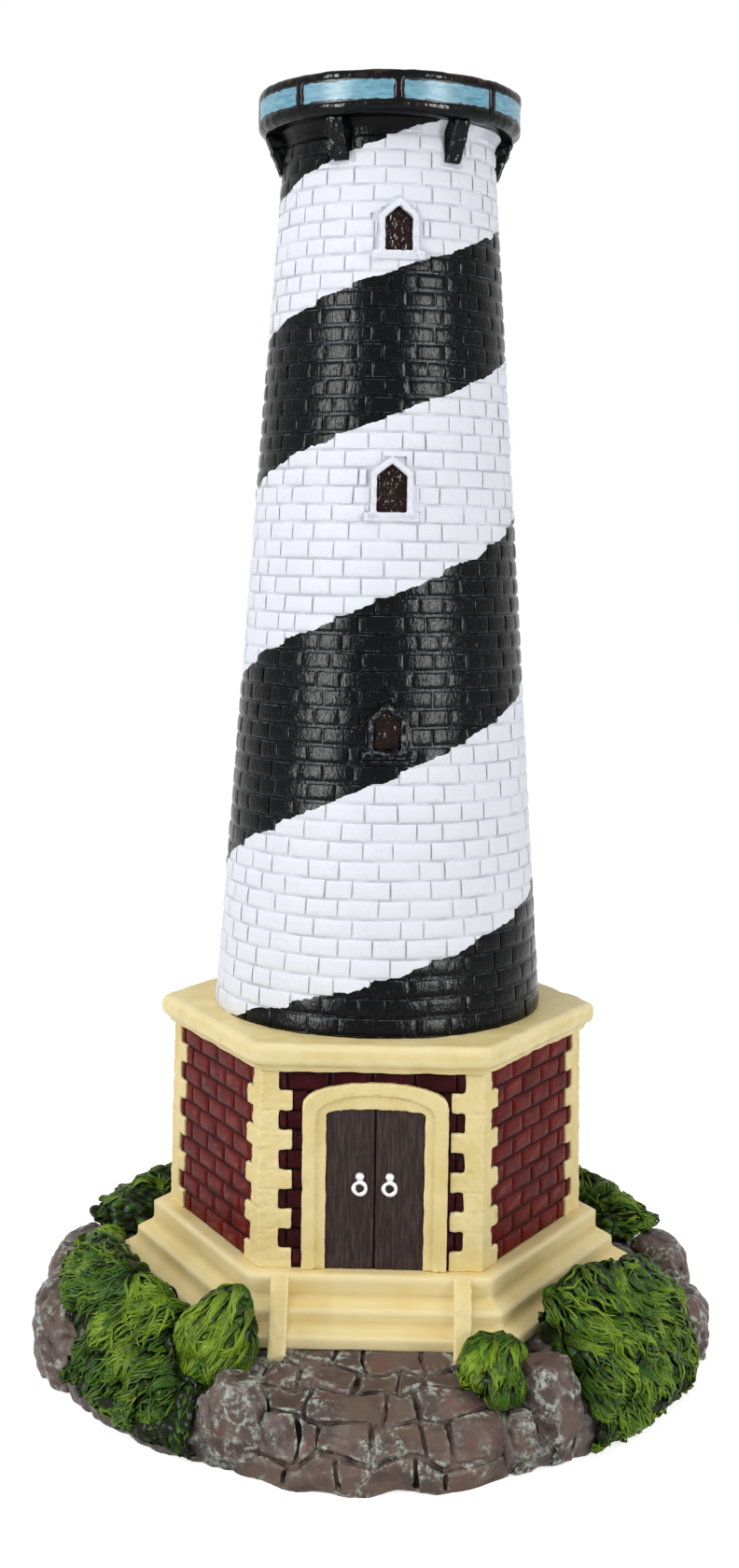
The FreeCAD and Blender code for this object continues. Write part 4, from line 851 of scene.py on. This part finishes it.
def surfaceSpots(mesh, count, rng, blade):  # random places on the outward and upward parts of a mesh, by area
    mesh.calc_loop_triangles()
    corners = readVectors(mesh, "co")
    index = np.empty(len(mesh.loop_triangles) * 3, dtype=np.int64)
    mesh.loop_triangles.foreach_get("vertices", index)
    a, b, c = (corners[index.reshape(-1, 3)[:, k]] for k in range(3))
    cross = np.cross(b - a, c - a)
    area = np.linalg.norm(cross, axis=1)
    outward = (a + b + c) * (1, 1, 0)
    outward /= np.linalg.norm(outward, axis=1)[:, None]
    normal = cross / np.maximum(area, 1e-12)[:, None]
    facing = (normal * (outward * blade["outward"] + np.array((0, 0, blade["upward"])))).sum(1)
    weight = area * (facing > blade["leastFacing"])
    pick = rng.choice(len(area), count, p=weight / weight.sum())
    s, t = rng.random((2, count))
    flip = s + t > 1
    s[flip], t[flip] = 1 - s[flip], 1 - t[flip]
    return a[pick] + (b - a)[pick] * s[:, None] + (c - a)[pick] * t[:, None]


def grassLocks(node, look, blade, seed):
    rng = np.random.default_rng(seed)
    mound = softCast(node, grassPaint, "grass", seed=seed, insetMm=look["insetMm"], **moundLook).data
    relief = np.empty(len(mound.vertices), dtype=np.float32)
    mound.attributes["relief"].data.foreach_get("value", relief)
    # painted shade on the mound: its hollows take the dark green, its raised places the green
    setValues(mound, "crest", blade["moundCrest"] + blade["moundRelief"] * relief)
    tree = BVHTree.FromPolygons([v.co for v in mound.vertices], [p.vertices for p in mound.polygons])
    low, high = (np.array(corner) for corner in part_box(node))
    rings, profile, strands = blade["rings"], blade["profile"], blade["strands"]
    width = len(profile)
    points, faces, crest, shade = [], [], [], []
    roots = surfaceSpots(mound, look["locks"], rng, blade)
    fan = Vector(low + np.array(look["fanFrom"]) * (high - low)) if look["fanFrom"] else None
    turns = lumps(roots, look["sizeMm"], seed + 5) * blade["turnSpread"] + look["swirl"]
    for root, turn in zip(roots, turns):
        middle, up, _, _ = tree.find_nearest(Vector(root))
        outward = Vector((middle.x, middle.y, 0)).normalized()
        downhill = middle - fan if fan else outward * blade["outward"] - Vector((0, 0, 1.0))
        flow = Matrix.Rotation(float(turn + rng.normal(0, blade["stray"])), 3, up) @ downhill
        flow = (flow - up * flow.dot(up)).normalized()
        bend = float(rng.normal(0, blade["bendSpread"]) + blade["bendSwirl"] * np.sign(look["swirl"]))
        long = look["lengthMm"] * mm * rng.uniform(*blade["long"])
        half = look["lockMm"] * mm * rng.uniform(*blade["half"]) / 2
        proud = look["proudMm"] * mm * rng.uniform(*blade["proud"])
        tone = rng.random() + look["tone"]
        for strand in range(strands):
            across = (2 * strand + 1) / strands - 1
            length = long * (1 - blade["sideShort"] * abs(across)) * rng.uniform(*blade["strandLong"])
            wide = half / strands * rng.uniform(*blade["strandWide"])
            heading = Matrix.Rotation(across * blade["converge"], 3, up) @ flow
            spot, normal, _, _ = tree.find_nearest(middle + flow.cross(up) * (across * half))
            base = len(points)
            for r in range(rings):
                share = r / (rings - 1)
                arch = math.sin(math.pi * share)
                side = normal.cross(heading).normalized()
                waist = 1 - blade["waist"] * (1 - arch)
                taper = (1 - share ** blade["taperPower"]) * waist + blade["tipWidth"]
                arched = blade["archLift"] * arch * (1 - blade["sideLift"] * abs(across))
                lift = proud * (blade["footLift"] + arched) + blade["tipMm"] * mm * share ** 2
                # painted light: a strand's top takes the light crest value, its sides and under edges none
                lit = (blade["footCrest"] + blade["tipCrest"] * share) * (1 - blade["sideCrest"] * abs(across))
                for x, y in profile:
                    out = lift + y * blade["thick"] * wide - blade["sunkMm"] * mm
                    points.append(spot + side * (x * wide * taper) + normal * out)
                    crest.append(max(0.0, y) * lit)
                    shade.append(tone)
                heading = Matrix.Rotation(bend, 3, normal) @ heading
                spot, normal, _, _ = tree.find_nearest(spot + heading * (length / (rings - 1)))
                heading = (heading - normal * heading.dot(normal)).normalized()
            faces.extend(gridFaces(base, rings, width, True) + endFaces(base, rings, width))
    strips = np.array(points).reshape(-1, rings * width, 3)
    # a strand that leans out of the mound's box moves back whole
    strips -= np.maximum(strips - high, 0).max(1, keepdims=True)
    strips += np.maximum(low - strips, 0).max(1, keepdims=True)
    mesh = buildMesh(node + "Blades", strips.reshape(-1, 3), faces, crest=crest, shade=shade)
    addPiece(node + "_blades", mesh, grassPaint)


for k, (node, look) in enumerate(grassSpots.items()):
    grassLocks(node, look, bladeLook, 90 + k)
print("grass planted")


# ring handles: a domed knob and a hanging ring, lathed and swept, silvered by hand
handleLook = dict(
    ringMm=1.9, wireMm=0.66, knobMm=1.4, knobOutMm=1.2, sides=28, tube=12, lumpy=0.15, standOff=0.9,
    dome=((1.0, 0.0), (1.0, 0.25), (0.9, 0.6), (0.65, 0.85), (0.3, 1.0)))


def ringHandle(side, look):
    node = "ring_handle_" + side
    low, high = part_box(node)
    middle, back = (low.x + high.x) / 2, high.y
    knobZ = high.z - look["knobMm"] * mm
    ringZ = low.z + (look["ringMm"] + look["wireMm"]) * mm
    sides, tube, dome = look["sides"], look["tube"], look["dome"]
    points, faces = [], gridFaces(0, sides, tube, True, True)
    for r in range(sides):
        a = 2 * math.pi * r / sides
        for t in range(tube):
            b = 2 * math.pi * t / tube
            reach = look["ringMm"] + look["wireMm"] * math.cos(b) * (1 + look["lumpy"] * math.sin(3 * a))
            out = look["wireMm"] * (look["standOff"] + math.sin(b))
            points.append((middle + reach * math.sin(a) * mm, back - out * mm,
                           ringZ + reach * math.cos(a) * mm))
    base = len(points)
    for wide, out in dome:
        for r in range(sides):
            a = 2 * math.pi * r / sides
            reach = wide * look["knobMm"]
            points.append((middle + reach * math.sin(a) * mm, back - out * look["knobOutMm"] * mm,
                           knobZ + reach * math.cos(a) * mm))
    faces.extend(gridFaces(base, len(dome), sides, True) + endFaces(base, len(dome), sides))
    piece = addPiece(node + "_cast", buildMesh(node, points, faces), silverPaint)
    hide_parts(node)


ringHandle("left", handleLook)
ringHandle("right", handleLook)

# the lamp unit's solids keep their shapes and take their finishes
finishes = dict(
    lamp_housing=blackAbs, battery_door=blackAbs, switch_slider=switchAbs, lamp_seal=sealRubber,
    circuit_board=boardLacquer, light_emitters=emitterGel, light_ring=clearPlastic, solar_cell=solarFace,
    battery_cell=sleevePaint, battery_contacts=contactSteel, door_screw=screwSteel)
for node, material in finishes.items():
    paintSolid(node, material)
print("lamp unit finished")

# studio: white floor that keeps the shadow, white surround, three soft boxes, and two strips that only sparkle
studioLook = dict(skyStrength=0.4, floorWhite="#F4F4F4", floorGlow=0.7, floorHalf=6.0)
lampLook = dict(  # azimuth in degrees from the front; distance, height, width and tallness in metres; watts
    leftBox=dict(azimuth=-62.0, distance=0.95, height=0.42, wide=0.3, tall=0.8, watts=3.3),
    rightBox=dict(azimuth=58.0, distance=0.95, height=0.4, wide=0.3, tall=0.7, watts=3.3),
    topBox=dict(azimuth=-30.0, distance=0.6, height=1.2, wide=0.9, tall=0.9, watts=5.8),
    leftStrip=dict(azimuth=-46.0, distance=0.95, height=0.42, wide=0.16, tall=0.8, watts=25.0),
    rightStrip=dict(azimuth=42.0, distance=0.95, height=0.4, wide=0.14, tall=0.7, watts=20.0),
)
aimHeight = 0.2  # what the lamps point at, in metres
white = (1, 1, 1, 1)


def seenRays(tree):  # 1 where the camera looks, or what glossy and clear things show
    rays = addNode(tree, "ShaderNodeLightPath").outputs
    seen = calc("MAXIMUM", rays["Is Camera Ray"], rays["Is Glossy Ray"])
    return calc("MAXIMUM", seen, rays["Is Transmission Ray"])


def makeStudio(look):
    world = bpy.data.worlds.new("studioWorld")
    bpy.context.scene.world = world
    tree = emptyTree(world)
    strength = calc("MAXIMUM", seenRays(tree), look["skyStrength"])
    sky = addNode(tree, "ShaderNodeBackground", {"Color": white, "Strength": strength})
    addNode(tree, "ShaderNodeOutputWorld", {"Surface": sky.outputs[0]})
    half = look["floorHalf"]
    mesh = buildMesh("studioFloor", [(-half, -half, 0), (half, -half, 0), (half, half, 0), (-half, half, 0)],
                     [(0, 1, 2, 3)])
    floor = newObject("studioFloor", mesh)
    material = bpy.data.materials.new("paperSweep")
    tree = emptyTree(material)
    paper = addNode(tree, "ShaderNodeBsdfDiffuse", {"Color": hexColour(look["floorWhite"])})
    strength = times(seenRays(tree), look["floorGlow"])
    glow = addNode(tree, "ShaderNodeEmission", {"Color": white, "Strength": strength})
    both = addNode(tree, "ShaderNodeAddShader", {0: paper.outputs[0], 1: glow.outputs[0]})
    addNode(tree, "ShaderNodeOutputMaterial", {"Surface": both.outputs[0]})
    mesh.materials.append(material)


def addLamp(name, look):  # the boxes give the soft light, and the strips show only in the gloss
    data = bpy.data.lights.new(name, "AREA")
    data.shape, data.size, data.size_y, data.energy = "RECTANGLE", look["wide"], look["tall"], look["watts"]
    light = newObject(name, data)
    a = math.radians(look["azimuth"])
    light.location = (look["distance"] * math.sin(a), -look["distance"] * math.cos(a), look["height"])
    light.rotation_euler = (Vector((0, 0, aimHeight)) - light.location).to_track_quat("-Z", "Y").to_euler()
    light.visible_glossy = name.endswith("Strip")
    light.visible_diffuse = not light.visible_glossy


makeStudio(studioLook)
for name, look in lampLook.items():
    addLamp(name, look)
bpy.context.scene.view_settings.view_transform = "Standard"
print("studio lit")
